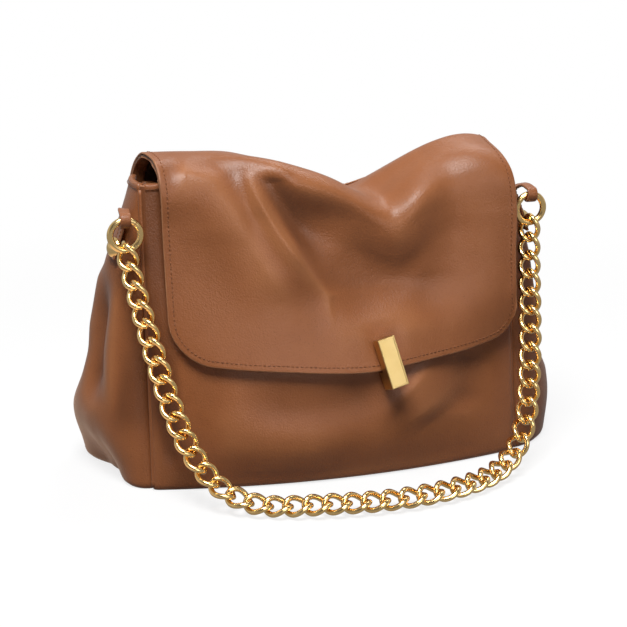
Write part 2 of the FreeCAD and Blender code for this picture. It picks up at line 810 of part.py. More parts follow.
screws = []
for number in (0, 1):
    shank = cylinder(f"screw_shank_{number}", "sizes.screw_radius", "sizes.screw_length")
    head = cylinder(f"screw_head_{number}", "sizes.screw_head_radius", "sizes.screw_head_thickness")
    place = f"{screw_low_rule} + {number} * sizes.screw_pitch"
    bind_base(shank, "0", place, "0")
    bind_base(head, "0", place, "-sizes.screw_head_thickness")
    screw = doc.addObject("Part::Fuse", f"screw_{number}")
    screw.Base = shank
    screw.Tool = head
    screws.append(screw)
screw_group = doc.addObject("Part::Compound", "screw_group")
screw_group.Links = screws
lay(keep(screw_group, "clasp_screws"), clasp_frame(plate_seat))

# Keeper on the front panel: a case with a magnet, two rivets and a washer behind the leather
keeper_depth = f"({hem_stack} - sizes.clasp_clearance)"
keeper = doc.addObject("PartDesign::Body", "keeper_body")
keeper_outline = rectangle_sketch(
    keeper, "keeper_outline", "sizes.keeper_width", "sizes.keeper_height", "0", keeper_place
)
pad(keeper, "keeper_block", keeper_outline, keeper_depth)
keeper_magnet_width = "(sizes.keeper_width - 2 * sizes.keeper_wall)"
keeper_magnet_height = "(sizes.keeper_height - 2 * sizes.keeper_wall)"
seat_outline = rectangle_sketch(
    keeper, "seat_outline", keeper_magnet_width, keeper_magnet_height, keeper_depth, keeper_place
)
pocket(keeper, "keeper_seat", seat_outline, "sizes.clasp_magnet_thickness + sizes.fit_clearance", False)
lay(keep(keeper, "keeper_case"), clasp_frame(size("clasp_clearance")))

keeper_magnet = doc.addObject("PartDesign::Body", "keeper_magnet_body")
slug_outline = rectangle_sketch(
    keeper_magnet,
    "slug_outline",
    f"{keeper_magnet_width} - 2 * sizes.fit_clearance",
    f"{keeper_magnet_height} - 2 * sizes.fit_clearance",
    f"{keeper_depth} - sizes.clasp_magnet_thickness - sizes.fit_clearance",
    keeper_place,
)
pad(keeper_magnet, "slug_block", slug_outline, "sizes.clasp_magnet_thickness")
lay(keep(keeper_magnet, "keeper_magnet"), clasp_frame(size("clasp_clearance")))

washer_lift = leather + size("keeper_washer_clearance")
rivet_stack = "sizes.clasp_clearance + sizes.leather + sizes.keeper_washer_clearance"
rivet_reach = f"({rivet_stack} + sizes.keeper_washer_thickness)"
rivets = []
for number, toward in enumerate((left, right)):
    rivet = cylinder(f"keeper_rivet_{number}", "sizes.rivet_radius", rivet_reach)
    place = f"{keeper_place} + {toward} * sizes.rivet_pitch / 2"
    bind_base(rivet, "0", place, f"-{rivet_reach}")
    rivets.append(rivet)
rivet_group = doc.addObject("Part::Compound", "rivet_group")
rivet_group.Links = rivets
lay(keep(rivet_group, "keeper_rivets"), clasp_frame(size("clasp_clearance")))

keeper_washer = doc.addObject("PartDesign::Body", "keeper_washer_body")
washer_outline = rectangle_sketch(
    keeper_washer, "washer_outline", "sizes.keeper_width", "sizes.keeper_height", "0", keeper_place
)
pad(keeper_washer, "washer_block", washer_outline, "sizes.keeper_washer_thickness")
for number, toward in enumerate((left, right)):
    place = f"{keeper_place} + {toward} * sizes.rivet_pitch / 2"
    hole = circle_sketch(
        keeper_washer, f"washer_hole_{number}", "sizes.rivet_radius + sizes.fit_clearance", "0", place
    )
    pocket(keeper_washer, f"washer_bore_{number}", hole, "sizes.keeper_washer_thickness", True)
washer_seat = -(washer_lift + size("keeper_washer_thickness"))
lay(keep(keeper_washer, "keeper_washer"), clasp_frame(washer_seat))

# The rings stand off the place where the tab's root leaves the gusset
ring_top = size("ring_height") + size("ring_radius")
ring_bottom = size("ring_height") - size("ring_radius")
half_tab = size("tab_width") / 2
ring_hole = size("ring_radius") - size("ring_wire") / 2
loop_inner = size("ring_radius") - math.sqrt(ring_hole ** 2 - half_tab ** 2) + size("tab_clearance")
loop_outer = loop_inner + size("tab_thickness")
root_bottom = ring_top + size("ring_wire") / 2 + size("tab_clearance")
root_top = root_bottom + size("tab_root_thickness")
tail_low = tail_middle - size("tab_tail_depth") / 2
tail_high = tail_middle + size("tab_tail_depth") / 2
root_back = tail_middle - size("tab_tail_depth") / 4
root_level = root_bottom / height
seat_lateral = root_back - wall_arc("right", root_level)[0].y
seat_offset = size("tail_clearance") + size("tab_thickness") / 2
root_x = wall_point("right", root_level, seat_lateral, seat_offset).x
ring_x = root_x + size("ring_outset")

# Rings that hang in the tabs, each with a fine split in its wire
for side, name in ((left, "left"), (right, "right")):
    torus = doc.addObject("Part::Torus", f"{name}_ring_wire")
    torus.setExpression("Radius1", "sizes.ring_radius")
    torus.setExpression("Radius2", "sizes.ring_wire / 2")
    slit = box(f"{name}_ring_slit", "2 * sizes.ring_wire", "sizes.ring_split", "2 * sizes.ring_wire")
    slit.setExpression("Placement.Base.x", "sizes.ring_radius - sizes.ring_wire")
    slit.setExpression("Placement.Base.y", "-sizes.ring_split / 2")
    slit.setExpression("Placement.Base.z", "-sizes.ring_wire")
    ring = cut(f"{name}_ring_split", torus, slit)
    angle = size("ring_split_angle") if side == left else 180 - size("ring_split_angle")
    upright = Rotation(Vector(1, 0, 0), 90).multiply(Rotation(Vector(0, 0, 1), angle))
    ring.Placement = Placement(Vector(side * ring_x, -size("ring_y"), size("ring_height")), upright)
    keep(ring, f"{name}_ring")


# Tabs: a tail on the gusset, a root that stands off it and a loop through the ring
def tab_shape(side, wall):
    tail_foot = size("ring_height") - size("tab_tail_drop")
    tail_levels = levels_between(tail_foot / height, root_top / height)
    tail_outer = size("tail_clearance") + size("tab_thickness")
    tail = wall_patch(wall, tail_levels, tail_outer, size("tail_clearance"), tail_low, tail_high)
    outer_x = ring_x + half_tab
    root_front = -size("ring_y") + math.sqrt(loop_outer ** 2 - (root_bottom - ring_top) ** 2)
    root_front = root_front - size("tab_thickness") / 2
    corner_x = root_x if side == right else -outer_x
    root = Part.makeBox(
        outer_x - root_x,
        root_back - root_front,
        root_top - root_bottom,
        Vector(corner_x, root_front, root_bottom),
    )
    loop_corner = Vector(side * ring_x - half_tab, -size("ring_y"), ring_top)
    loop = Part.makeCylinder(loop_outer, size("tab_width"), loop_corner, Vector(1, 0, 0))
    bore = Part.makeCylinder(loop_inner, size("tab_width"), loop_corner, Vector(1, 0, 0))
    return tail.fuse(root).fuse(loop.cut(bore)).removeSplitter()


stud_lift = size("tail_clearance") + size("tab_thickness") + size("stud_clearance")
stud_reach = "(sizes.stud_clearance + sizes.tab_thickness + sizes.tail_clearance + sizes.leather)"
stud_shank_length = f"({stud_reach} + sizes.stud_washer_clearance + sizes.stud_washer_thickness)"
dome_radius = "((sizes.stud_radius ^ 2 + sizes.stud_dome ^ 2) / (2 * sizes.stud_dome))"
for side, name in ((left, "left"), (right, "right")):
    tab = feature(f"{name}_tab_strip", tab_shape(side, name))
    keep(cut(f"{name}_tab_drilled", tab, stud_drill(f"{name}_tab_drill", side)), f"{name}_tab")
    ball = doc.addObject("Part::Sphere", f"{name}_stud_ball")
    ball.setExpression("Radius", dome_radius)
    ball.setExpression("Placement.Base.z", f"sizes.stud_rim + sizes.stud_dome - {dome_radius}")
    crop = cylinder(f"{name}_stud_crop", "sizes.stud_radius", "sizes.stud_rim + sizes.stud_dome")
    cap = doc.addObject("Part::Common", f"{name}_stud_cap")
    cap.Base = ball
    cap.Tool = crop
    shank = cylinder(f"{name}_stud_shank", "sizes.stud_shank", f"{stud_shank_length} + sizes.stud_rim")
    shank.setExpression("Placement.Base.z", f"-{stud_shank_length}")
    stud = doc.addObject("Part::Fuse", f"{name}_stud_solid")
    stud.Base = cap
    stud.Tool = shank
    lay(keep(stud, f"{name}_tab_stud"), stud_frame(side, stud_lift))
    disc = cylinder(f"{name}_washer_disc", "sizes.stud_washer_radius", "sizes.stud_washer_thickness")
    bore = cylinder(f"{name}_washer_bore", "sizes.stud_shank + sizes.fit_clearance", "sizes.stud_washer_thickness")
    washer = cut(f"{name}_washer_ring", disc, bore)
    washer_offset = -(leather + size("stud_washer_clearance") + size("stud_washer_thickness"))
    lay(keep(washer, f"{name}_stud_washer"), stud_frame(side, washer_offset))


# Chain strap: twisted curb links along a route that hangs from the rings and lies on the floor
wire_radius = size("link_wire") / 2
link_half_length = (size("link_pitch") + size("link_wire") + size("link_slack")) / 2
link_half_width = size("link_width") / 2 - wire_radius
link_twist = math.radians(size("link_twist"))


def link_point(turn):
    twist = link_twist * math.cos(turn)
    across = link_half_width * math.sin(turn)
    return Vector(link_half_length * math.cos(turn), across * math.cos(twist), across * math.sin(twist))


def link_tangent(turn):
    step = math.radians(0.01)
    return (link_point(turn + step) - link_point(turn - step)).normalize()


def arc_from_tangents(start, corner, end):
    middle = (start + end) / 2
    toward = corner - middle
    half_chord = (end - start).Length / 2
    bow = half_chord * math.tan(math.atan2(toward.Length, half_chord) / 2)
    return Part.Arc(start, middle + toward.normalize() * bow, end).toShape()


def biarc(first, first_tangent, last, last_tangent):
    chord = last - first
    together = first_tangent + last_tangent
    bend = 2 * (1 - first_tangent.dot(last_tangent))
    run = chord.dot(together)
    reach = (math.sqrt(run ** 2 + bend * chord.dot(chord)) - run) / bend
    first_corner = first + first_tangent * reach
    last_corner = last - last_tangent * reach
    meeting = (first_corner + last_corner) / 2
    return [
        arc_from_tangents(first, first_corner, meeting),
        arc_from_tangents(meeting, last_corner, last),
    ]


def half_link():
    edges = []
    turns = [math.radians(angle) for angle in (-90, -45, 0, 45, 90)]
    for start, end in zip(turns, turns[1:]):
        edges += biarc(link_point(start), link_tangent(start), link_point(end), link_tangent(end))
    path = Part.Wire(edges)
    circle = Part.Circle(link_point(turns[0]), link_tangent(turns[0]), wire_radius)
    shell = Part.BRepOffsetAPI.MakePipeShell(path)
    shell.add(Part.Wire(circle.toShape()))
    shell.build()
    shell.makeSolid()
    return shell.shape()


def link_solid():
    half = half_link()
    other = half.copy()
    other.rotate(Vector(0, 0, 0), Vector(0, 1, 0), 180)
    return half.fuse(other).Solids[0]


# Route points as shares of the ring's distance from the middle, the strap's reach and the ring's height
ring_y_share = size("ring_y") / size("strap_reach")
floor_share = size("strap_floor_height") / ring_bottom
strap_route_shares = (
    (-1, ring_y_share, 1),
    (-0.98, 0.308, 0.9),
    (-0.945, 0.385, 0.742),
    (-0.9, 0.475, 0.565),
    (-0.84, 0.575, 0.365),
    (-0.757, 0.68, 0.195),
    (-0.64, 0.785, 0.085),
    (-0.52, 0.86, floor_share),
    (-0.28, 0.955, floor_share),
    (0, 1, floor_share),
    (0.28, 0.99, floor_share),
    (0.52, 0.915, floor_share),
    (0.7, 0.8, 0.055),
    (0.815, 0.7, 0.1),
    (0.89, 0.62, 0.19),
    (0.93, 0.55, 0.325),
    (0.955, 0.475, 0.517),
    (0.975, 0.385, 0.717),
    (0.99, 0.308, 0.9),
    (1, ring_y_share, 1),
)


def strap_curve():
    points = []
    for x_share, y_share, z_share in strap_route_shares:
        points.append(Vector(x_share * ring_x, -y_share * size("strap_reach"), z_share * ring_bottom))
    curve = Part.BSplineCurve()
    curve.interpolate(points)
    return curve


def flat_normals(first_tangent, last_tangent):
    # The end links turn so that their outer bows stand square to the ring wires
    sideways = Vector(0, 1, 0)
    first_across = (sideways - first_tangent * sideways.dot(first_tangent)).normalize()
    first_normal = Rotation(first_tangent, size("link_twist")).multVec(first_tangent.cross(first_across))
    last_across = (sideways - last_tangent * sideways.dot(last_tangent)).normalize()
    last_normal = Rotation(last_tangent, -size("link_twist")).multVec(last_tangent.cross(last_across))
    return first_normal, last_normal


run_share = 0.33
floor_lean_share = 0.5


def link_places():
    curve = strap_curve()
    length = curve.length()
    end_gap = link_half_length - wire_radius - size("ring_wire") / 2 - size("link_slack")
    count = round((length - 2 * end_gap) / size("link_pitch")) + 1
    pitch = (length - 2 * end_gap) / (count - 1)
    first_tangent = curve.tangent(curve.FirstParameter)[0]
    last_tangent = curve.tangent(curve.LastParameter)[0]
    first_normal, last_normal = flat_normals(first_tangent, last_tangent)
    floor_normal = Vector(0, -floor_lean_share, 1).normalize()
    if first_normal.dot(floor_normal) < 0:
        first_normal = -first_normal
    if last_normal.dot(floor_normal) < 0:
        last_normal = -last_normal
    places = []
    for number in range(count):
        along = end_gap + number * pitch
        parameter = curve.parameterAtDistance(along, curve.FirstParameter)
        tangent = curve.tangent(parameter)[0]
        start_weight = 1 - ease((along - end_gap) / (run_share * length))
        end_weight = 1 - ease((length - end_gap - along) / (run_share * length))
        floor_weight = 1 - start_weight - end_weight
        normal = first_normal * start_weight + last_normal * end_weight + floor_normal * floor_weight
        normal = (normal - tangent * normal.dot(tangent)).normalize()
        turn = Rotation(tangent, normal.cross(tangent), normal, "XZY")
        places.append(Placement(curve.value(parameter), turn))
    return places


def link_group(name, link, places):
    copies = []
    for place in places:
        copy = link.copy()
        copy.Placement = place
        copies.append(copy)
    shape = copies[0] if len(copies) == 1 else Part.makeCompound(copies)
    return keep(feature(f"{name}_links", shape), name)


links = link_places()
link = link_solid()
lift_limit = 2 * size("strap_floor_height")
grounded = [number for number, place in enumerate(links) if place.Base.z < lift_limit]
link_group("left_end_link", link, links[:1])
link_group("left_chain_run", link, links[1:grounded[0]])
link_group("floor_chain_run", link, links[grounded[0]:grounded[-1] + 1])
link_group("right_chain_run", link, links[grounded[-1] + 1:-1])
link_group("right_end_link", link, links[-1:])

# Every object is checked before any piece is written
doc.recompute()
for item in doc.Objects:
    if "Invalid" in item.State or "Error" in item.State:
        raise RuntimeError(f"{item.Label} did not build: {item.State}")
for piece in pieces:
    if piece.Shape.isNull() or not piece.Shape.isValid():
        raise RuntimeError(f"{piece.Label} has no valid shape")

os.makedirs("parts", exist_ok=True)
for piece in pieces:
    piece.Shape.exportStep(os.path.join("parts", f"{piece.Label}.step"))
    print(piece.Label, len(piece.Shape.Solids), round(piece.Shape.Volume, 1))
print("links", len(links), "fold height", round(fold_height, 2), "loop radius", round(loop_inner, 2))
print("ring x", round(ring_x, 3))
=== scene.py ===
import bpy
import math
import numpy as np
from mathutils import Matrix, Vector


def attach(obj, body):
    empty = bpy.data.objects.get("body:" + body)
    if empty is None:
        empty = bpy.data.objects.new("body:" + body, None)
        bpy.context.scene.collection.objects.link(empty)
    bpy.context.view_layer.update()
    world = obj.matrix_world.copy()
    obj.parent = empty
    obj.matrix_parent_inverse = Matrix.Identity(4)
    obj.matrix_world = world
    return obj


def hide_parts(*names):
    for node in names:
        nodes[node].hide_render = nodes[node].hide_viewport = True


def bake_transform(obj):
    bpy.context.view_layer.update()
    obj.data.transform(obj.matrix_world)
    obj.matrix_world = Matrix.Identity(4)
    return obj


# Chain shoulder bag. Shapes are worked out in millimetres and written to the meshes in metres.
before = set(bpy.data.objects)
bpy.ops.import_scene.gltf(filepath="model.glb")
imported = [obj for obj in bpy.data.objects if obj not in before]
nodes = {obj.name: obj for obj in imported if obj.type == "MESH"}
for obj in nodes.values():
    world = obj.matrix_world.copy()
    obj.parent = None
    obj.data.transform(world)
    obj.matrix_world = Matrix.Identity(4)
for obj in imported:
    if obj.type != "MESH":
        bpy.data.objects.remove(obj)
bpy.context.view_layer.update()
scene = bpy.context.scene
metre = 0.001
print("frame loaded:", len(nodes), "pieces")


# Curves and grids
def throughPoints(xs, ys, x):
    xs, ys = np.asarray(xs, float), np.asarray(ys, float)
    slopes = np.gradient(ys, xs)
    x = np.clip(np.asarray(x, float), xs[0], xs[-1])
    i = np.clip(np.searchsorted(xs, x) - 1, 0, len(xs) - 2)
    step = xs[i + 1] - xs[i]
    t = (x - xs[i]) / step
    a, b = ys[i], ys[i + 1]
    m, n = slopes[i] * step, slopes[i + 1] * step
    return a + t * (m + t * (3 * (b - a) - 2 * m - n + t * (2 * (a - b) + m + n)))


def tableOf(pairs, x):
    pairs = np.array(pairs, float)
    return throughPoints(pairs[:, 0], pairs[:, 1], x)


def ease(t):
    t = np.clip(t, 0, 1)
    return t * t * (3 - 2 * t)


# A span holds where a change starts and how long it takes
def easeOver(value, span):
    return ease((value - span[0]) / span[1])


def unit(v):
    return v / (np.linalg.norm(v, axis=-1, keepdims=True) + 1e-12)


def alike(direction, count):
    return np.tile(np.array([direction], float), (count, 1))


def runAlong(points):
    return np.concatenate([[0], np.cumsum(np.linalg.norm(np.diff(points, axis=0), axis=1))])


def pickAlong(points, run, at):
    return np.stack([np.interp(at, run, column) for column in points.T], axis=-1)


def smoothPath(points, count, fineness=6):
    points = np.asarray(points, float)
    reach = runAlong(points)
    fine = np.linspace(0, reach[-1], count * fineness)
    dense = np.stack([throughPoints(reach, column, fine) for column in points.T], axis=1)
    run = runAlong(dense)
    return pickAlong(dense, run, np.linspace(0, run[-1], count))


def evenPath(points, pitch):
    run = runAlong(points)
    count = max(2, int(round(run[-1] / pitch)) + 1)
    return pickAlong(points, run, np.linspace(0, run[-1], count))


def gridNormals(points, outward):
    normal = unit(np.cross(np.gradient(points, axis=1), np.gradient(points, axis=0)))
    if np.sum(normal * np.asarray(outward, float)) < 0:
        normal = -normal
    return normal


# A fold drawn on a panel: path, rise, spread on its two sides, fading ends as shares, and the crest's power
def fold(path, rise, wide, fade=(0.25, 0.35), point=2, fineness=4):
    path = np.array(path, float)
    if len(path) > 2:
        path = smoothPath(path, fineness * len(path))
    return path, rise, wide, fade, point


def foldField(a, b, folds):
    total = np.zeros_like(a)
    for path, rise, wide, fade, point in folds:
        start = runAlong(path)
        near = np.full(a.shape, np.inf)
        along, side = np.zeros_like(a), np.zeros_like(a)
        for k in range(len(path) - 1):
            d = path[k + 1] - path[k]
            t = np.clip(((a - path[k, 0]) * d[0] + (b - path[k, 1]) * d[1]) / (d @ d), 0, 1)
            da, db = a - path[k, 0] - t * d[0], b - path[k, 1] - t * d[1]
            away = np.hypot(da, db)
            closer = away < near
            near = np.where(closer, away, near)
            along = np.where(closer, start[k] + t * (start[k + 1] - start[k]), along)
            side = np.where(closer, d[0] * db - d[1] * da, side)
        spread = np.where(side > 0, wide[0], wide[1])
        share = along / start[-1]
        strength = ease(share / fade[0]) * ease((1 - share) / fade[1]) if fade[0] else 1.0
        total += rise * strength * np.exp(-(near / spread) ** point)
    return total


# Slow unevenness of soft leather: a few sine waves in seeded directions
waveLook = {"count": 7, "sizes": (0.7, 1.6), "phase": 6.3}


def softWaves(a, b, pitch, seed):
    pick = np.random.RandomState(seed)
    total = np.zeros_like(a)
    for k in range(waveLook["count"]):
        turn = pick.uniform(0, math.pi)
        size = pitch * pick.uniform(*waveLook["sizes"])
        start = pick.uniform(0, waveLook["phase"])
        total += np.sin((a * math.cos(turn) + b * math.sin(turn)) * 2 * math.pi / size + start)
    return total / waveLook["count"]


# Valleys come out above zero and ridges below it; the leather paints shade into the valleys and a highlight
# onto the ridges from these values
def foldShadeAndHighlight(field, reach, valleyShare=0.5):
    smooth = field.copy()
    for k in range(reach):
        around = sum(np.roll(smooth, step, axis) for axis in (0, 1) for step in (1, -1))
        smooth = (smooth + around) / 5
    shade = smooth - field
    return np.clip(np.where(shade > 0, valleyShare * shade, shade), -1, 1)


# Meshes
def addMesh(name, verts, faces, materials, faceMaterial=None, uv=None, shade=None):
    mesh = bpy.data.meshes.new(name)
    mesh.from_pydata((np.asarray(verts) * metre).tolist(), [], faces)
    for material in materials:
        mesh.materials.append(material)
    mesh.polygons.foreach_set("use_smooth", [True] * len(mesh.polygons))
    if faceMaterial is not None:
        mesh.polygons.foreach_set("material_index", np.asarray(faceMaterial, np.int32))
    if uv is not None:
        layer = mesh.uv_layers.new(name="clothPlace")
        order = np.zeros(len(mesh.loops), np.int32)
        mesh.loops.foreach_get("vertex_index", order)
        layer.data.foreach_set("uv", (np.asarray(uv)[order] * metre).astype(np.float32).ravel())
    if shade is not None:
        values = mesh.attributes.new("foldShadeAndHighlight", "FLOAT", "POINT").data
        values.foreach_set("value", np.asarray(shade, np.float32))
    mesh.update()
    piece = bpy.data.objects.new(name, mesh)
    scene.collection.objects.link(piece)
    return piece


def addParts(name, parts, material):
    verts, faces, base = [], [], 0
    for v, f in parts:
        verts.append(v)
        faces += [tuple(i + base for i in face) for face in f]
        base += len(v)
    return addMesh(name, np.concatenate(verts), faces, [material])


# A closed leather or cloth sheet from a grid of its outer face, with a rounded rim all round
def sheetFromGrid(name, outer, normal, thickness, materials, place=None, shade=None, rimSteps=4):
    rows, cols = outer.shape[:2]
    inner = outer - normal * thickness
    total = rows * cols
    number = np.arange(total).reshape(rows, cols)
    loop = np.concatenate([number[0, :-1], number[:-1, -1], number[-1, :0:-1], number[:0:-1, 0]])
    flatOuter, flatNormal = outer.reshape(-1, 3), normal.reshape(-1, 3)
    edge = flatOuter[loop]
    tangent = unit(np.roll(edge, -1, axis=0) - np.roll(edge, 1, axis=0))
    away = unit(np.cross(tangent, flatNormal[loop]))
    if np.sum((edge - flatOuter.mean(axis=0)) * away) < 0:
        away = -away
    verts = [flatOuter, inner.reshape(-1, 3)]
    rings = [loop]
    centre = edge - flatNormal[loop] * thickness / 2
    for k in range(1, rimSteps):
        turn = math.pi * k / rimSteps
        verts.append(centre + (away * math.sin(turn) + flatNormal[loop] * math.cos(turn)) * thickness / 2)
        rings.append(2 * total + (k - 1) * len(loop) + np.arange(len(loop)))
    rings.append(loop + total)
    corners = [number[:-1, :-1], number[:-1, 1:], number[1:, 1:], number[1:, :-1]]
    quads = np.stack(corners, axis=-1).reshape(-1, 4)
    a, b, d = flatOuter[quads[:, 0]], flatOuter[quads[:, 1]], flatOuter[quads[:, 3]]
    flip = np.sum(np.cross(b - a, d - a) * flatNormal[quads[:, 0]]) < 0
    rimFaces = []
    for first, second in zip(rings, rings[1:]):
        rimFaces.append(np.stack([first, second, np.roll(second, -1), np.roll(first, -1)], axis=-1))
    rim = np.concatenate(rimFaces)
    if flip:
        quads = quads[:, ::-1]
        rim = rim[:, ::-1]
    faces = np.concatenate([quads, quads[:, ::-1] + total, rim])
    kinds = np.zeros(len(faces), np.int32)
    if len(materials) > 1:
        kinds[2 * len(quads):] = 1
    extra = rimSteps - 1
    if place is not None:
        flat = place.reshape(-1, 2)
        place = np.concatenate([flat, flat] + [flat[loop]] * extra)
    if shade is not None:
        flat = shade.reshape(-1)
        shade = np.concatenate([flat, flat] + [flat[loop]] * extra)
    return addMesh(name, np.concatenate(verts), faces.tolist(), materials, kinds, place, shade)


def tubeFaces(count, sides):
    faces = []
    for i in range(count - 1):
        for k in range(sides):
            n = (k + 1) % sides
            faces.append((i * sides + k, i * sides + n, (i + 1) * sides + n, (i + 1) * sides + k))
    faces.append(tuple(range(sides))[::-1])
    faces.append(tuple((count - 1) * sides + k for k in range(sides)))
    return faces


# Sweeps a section along a path; across holds the direction of the section's width at each point
def sweepSection(path, across, section, taper=1.0):
    tangent = unit(np.gradient(path, axis=0))
    across = unit(across - tangent * np.sum(across * tangent, axis=1, keepdims=True))
    up = np.cross(tangent, across)
    wide = np.broadcast_to(taper, len(path))[:, None, None] * section[None, :, :1]
    verts = path[:, None] + across[:, None] * wide + up[:, None] * section[None, :, 1:]
    return verts.reshape(-1, 3), tubeFaces(len(path), len(section))


def roundSection(width, height, sides=16, corner=3.0):
    turn = np.linspace(0, 2 * math.pi, sides, endpoint=False)
    c, s = np.cos(turn), np.sin(turn)
    return np.stack([
        np.sign(c) * np.abs(c) ** (2 / corner) * width / 2,
        np.sign(s) * np.abs(s) ** (2 / corner) * height / 2,
    ], axis=1)


# Thread: one small rounded bar for each stitch, sunk a little into the leather
stitchSides = 6
stitchShares = ((0, 0.45, -0.6), (0.15, 0.9, 0.2), (0.5, 1, 0.45), (0.85, 0.9, 0.2), (1, 0.45, -0.6))


def stitchParts(path, normal, stitch):
    run = runAlong(path)
    count = int(run[-1] / stitch["pitch"])
    half = stitch["length"] / 2
    turns = np.linspace(0, 2 * math.pi, stitchSides, endpoint=False)
    faces = tubeFaces(len(stitchShares), stitchSides)
    parts = []
    for k in range(count):
        middle = (k + 0.5) * run[-1] / count
        first, last = pickAlong(path, run, middle - half), pickAlong(path, run, middle + half)
        up = unit(pickAlong(normal, run, middle))
        across = np.cross(up, unit(last - first))
        verts = []
        for share, girth, lift in stitchShares:
            centre = first + (last - first) * share + up * stitch["radius"] * lift
            for a in turns:
                verts.append(centre + (across * math.cos(a) + up * math.sin(a)) * stitch["radius"] * girth)
        parts.append((np.array(verts), faces))
    return parts


# Shader nodes
def feed(tree, node, values):
    for key, value in values.items():
        if isinstance(value, bpy.types.NodeSocket):
            tree.links.new(value, node.inputs[key])
        else:
            node.inputs[key].default_value = value


def addNode(tree, kind, values, **settings):
    node = tree.nodes.new(kind)
    for label, setting in settings.items():
        setattr(node, label, setting)
    feed(tree, node, values)
    return node.outputs


def mathNode(tree, operation, *values):
    return addNode(tree, "ShaderNodeMath", dict(enumerate(values)), operation=operation)[0]


def vectorValue(tree, operation, *values):
    return addNode(tree, "ShaderNodeVectorMath", dict(enumerate(values)), operation=operation)["Value"]


def noiseNode(tree, place, scale, detail=3.0, rough=0.55):
    values = {"Vector": place, "Scale": scale, "Detail": detail, "Roughness": rough}
    return addNode(tree, "ShaderNodeTexNoise", values)["Fac"]


def mixColor(tree, share, first, second):
    return addNode(tree, "ShaderNodeMix", {0: share, 6: first, 7: second}, data_type="RGBA")[2]


def spreadValue(tree, value, low, high):
    return addNode(tree, "ShaderNodeMapRange", {"Value": value, "To Min": low, "To Max": high})["Result"]


def smoothRange(tree, value, start, end, low=0.0):
    values = {"Value": value, "From Min": start, "From Max": end, "To Min": low}
    return addNode(tree, "ShaderNodeMapRange", values, interpolation_type="SMOOTHSTEP")["Result"]


def bumpFrom(tree, height, strength, distance):
    values = {"Strength": strength, "Distance": distance, "Height": height}
    return addNode(tree, "ShaderNodeBump", values)["Normal"]


def newGroup(name, inputs, outputs):
    group = bpy.data.node_groups.new(name, "ShaderNodeTree")
    for label, value in inputs.items():
        socket = group.interface.new_socket(name=label, in_out="INPUT", socket_type="NodeSocketFloat")
        socket.default_value = value
    for label in outputs:
        group.interface.new_socket(name=label, in_out="OUTPUT", socket_type="NodeSocketFloat")
    return group, group.nodes.new("NodeGroupInput").outputs, group.nodes.new("NodeGroupOutput")


def placeGroup(tree, group, values):
    return addNode(tree, "ShaderNodeGroup", values, node_tree=group)


# Fine pebbled grain, pores and slow patches of tone
grainShape = {
    "smooth": 0.4, "cellDepth": -0.8, "fineRate": 1.7, "fineDetail": 2.0, "poreLevel": 0.36,
    "slowDetail": 4.0, "slowShare": 0.7, "middleRate": 9.0, "middleShare": 0.3,
}


def makeLeatherGrain():
    scales = {"CellScale": 900.0, "PatchScale": 14.0}
    group, come, go = newGroup("leatherGrain", scales, ("Height", "Tone", "Pore"))
    place = addNode(group, "ShaderNodeTexCoord", {})["Object"]
    values = {"Vector": place, "Scale": come["CellScale"], "Smoothness": grainShape["smooth"]}
    cells = addNode(group, "ShaderNodeTexVoronoi", values, feature="SMOOTH_F1")["Distance"]
    hollows = mathNode(group, "MULTIPLY", cells, grainShape["cellDepth"])
    fineScale = mathNode(group, "MULTIPLY", come["CellScale"], grainShape["fineRate"])
    fine = noiseNode(group, place, fineScale, grainShape["fineDetail"])
    slow = noiseNode(group, place, come["PatchScale"], grainShape["slowDetail"])
    slow = mathNode(group, "MULTIPLY", slow, grainShape["slowShare"])
    middleScale = mathNode(group, "MULTIPLY", come["PatchScale"], grainShape["middleRate"])
    middle = mathNode(group, "MULTIPLY", noiseNode(group, place, middleScale), grainShape["middleShare"])
    feed(group, go, {
        "Height": mathNode(group, "ADD", hollows, fine),
        "Tone": mathNode(group, "ADD", slow, middle),
        "Pore": mathNode(group, "LESS_THAN", fine, grainShape["poreLevel"]),
    })
    return group


# Hairlines and faint handling marks on plated metal
wearShape = {"stretch": (1.0, 1.0, 0.06), "detail": 4.0, "depth": 0.0001}


def makeRubWear():
    group, come, go = newGroup("rubWear", {"LineScale": 500.0, "SpotScale": 60.0}, ("Height", "Smear"))
    place = addNode(group, "ShaderNodeTexCoord", {})["Object"]
    drawn = addNode(group, "ShaderNodeMapping", {"Vector": place, "Scale": wearShape["stretch"]})["Vector"]
    feed(group, go, {
        "Height": noiseNode(group, drawn, come["LineScale"], wearShape["detail"]),
        "Smear": noiseNode(group, place, come["SpotScale"], wearShape["detail"]),
    })
    return group


# Diagonal woven ribs, in threads across a metre of cloth
twillShape = {
    "turn": 6.2832, "slope": 0.5, "rib": 0.35, "cross": 0.15, "slubScale": 90.0, "ribTone": 0.25,
}


def makeTwill():
    group, come, go = newGroup("twillWeave", {"Threads": 1400.0}, ("Height", "Tone"))
    place = addNode(group, "ShaderNodeUVMap", {}, uv_map="clothPlace")["UV"]
    split = addNode(group, "ShaderNodeSeparateXYZ", {0: place})
    rate = mathNode(group, "MULTIPLY", come["Threads"], twillShape["turn"])
    across = mathNode(group, "MULTIPLY", split[0], rate)
    up = mathNode(group, "MULTIPLY", split[1], rate)
    slanted = mathNode(group, "ADD", across, mathNode(group, "MULTIPLY", up, twillShape["slope"]))
    rib = mathNode(group, "MULTIPLY", mathNode(group, "SINE", slanted), twillShape["rib"])
    cross = mathNode(group, "MULTIPLY", mathNode(group, "SINE", up), twillShape["cross"])
    height = mathNode(group, "ADD", rib, cross)
    ribTone = mathNode(group, "MULTIPLY", height, twillShape["ribTone"])
    slub = noiseNode(group, place, twillShape["slubScale"])
    feed(group, go, {"Height": height, "Tone": mathNode(group, "ADD", slub, ribTone)})
    return group


leatherGrain = makeLeatherGrain()
rubWear = makeRubWear()
twillWeave = makeTwill()


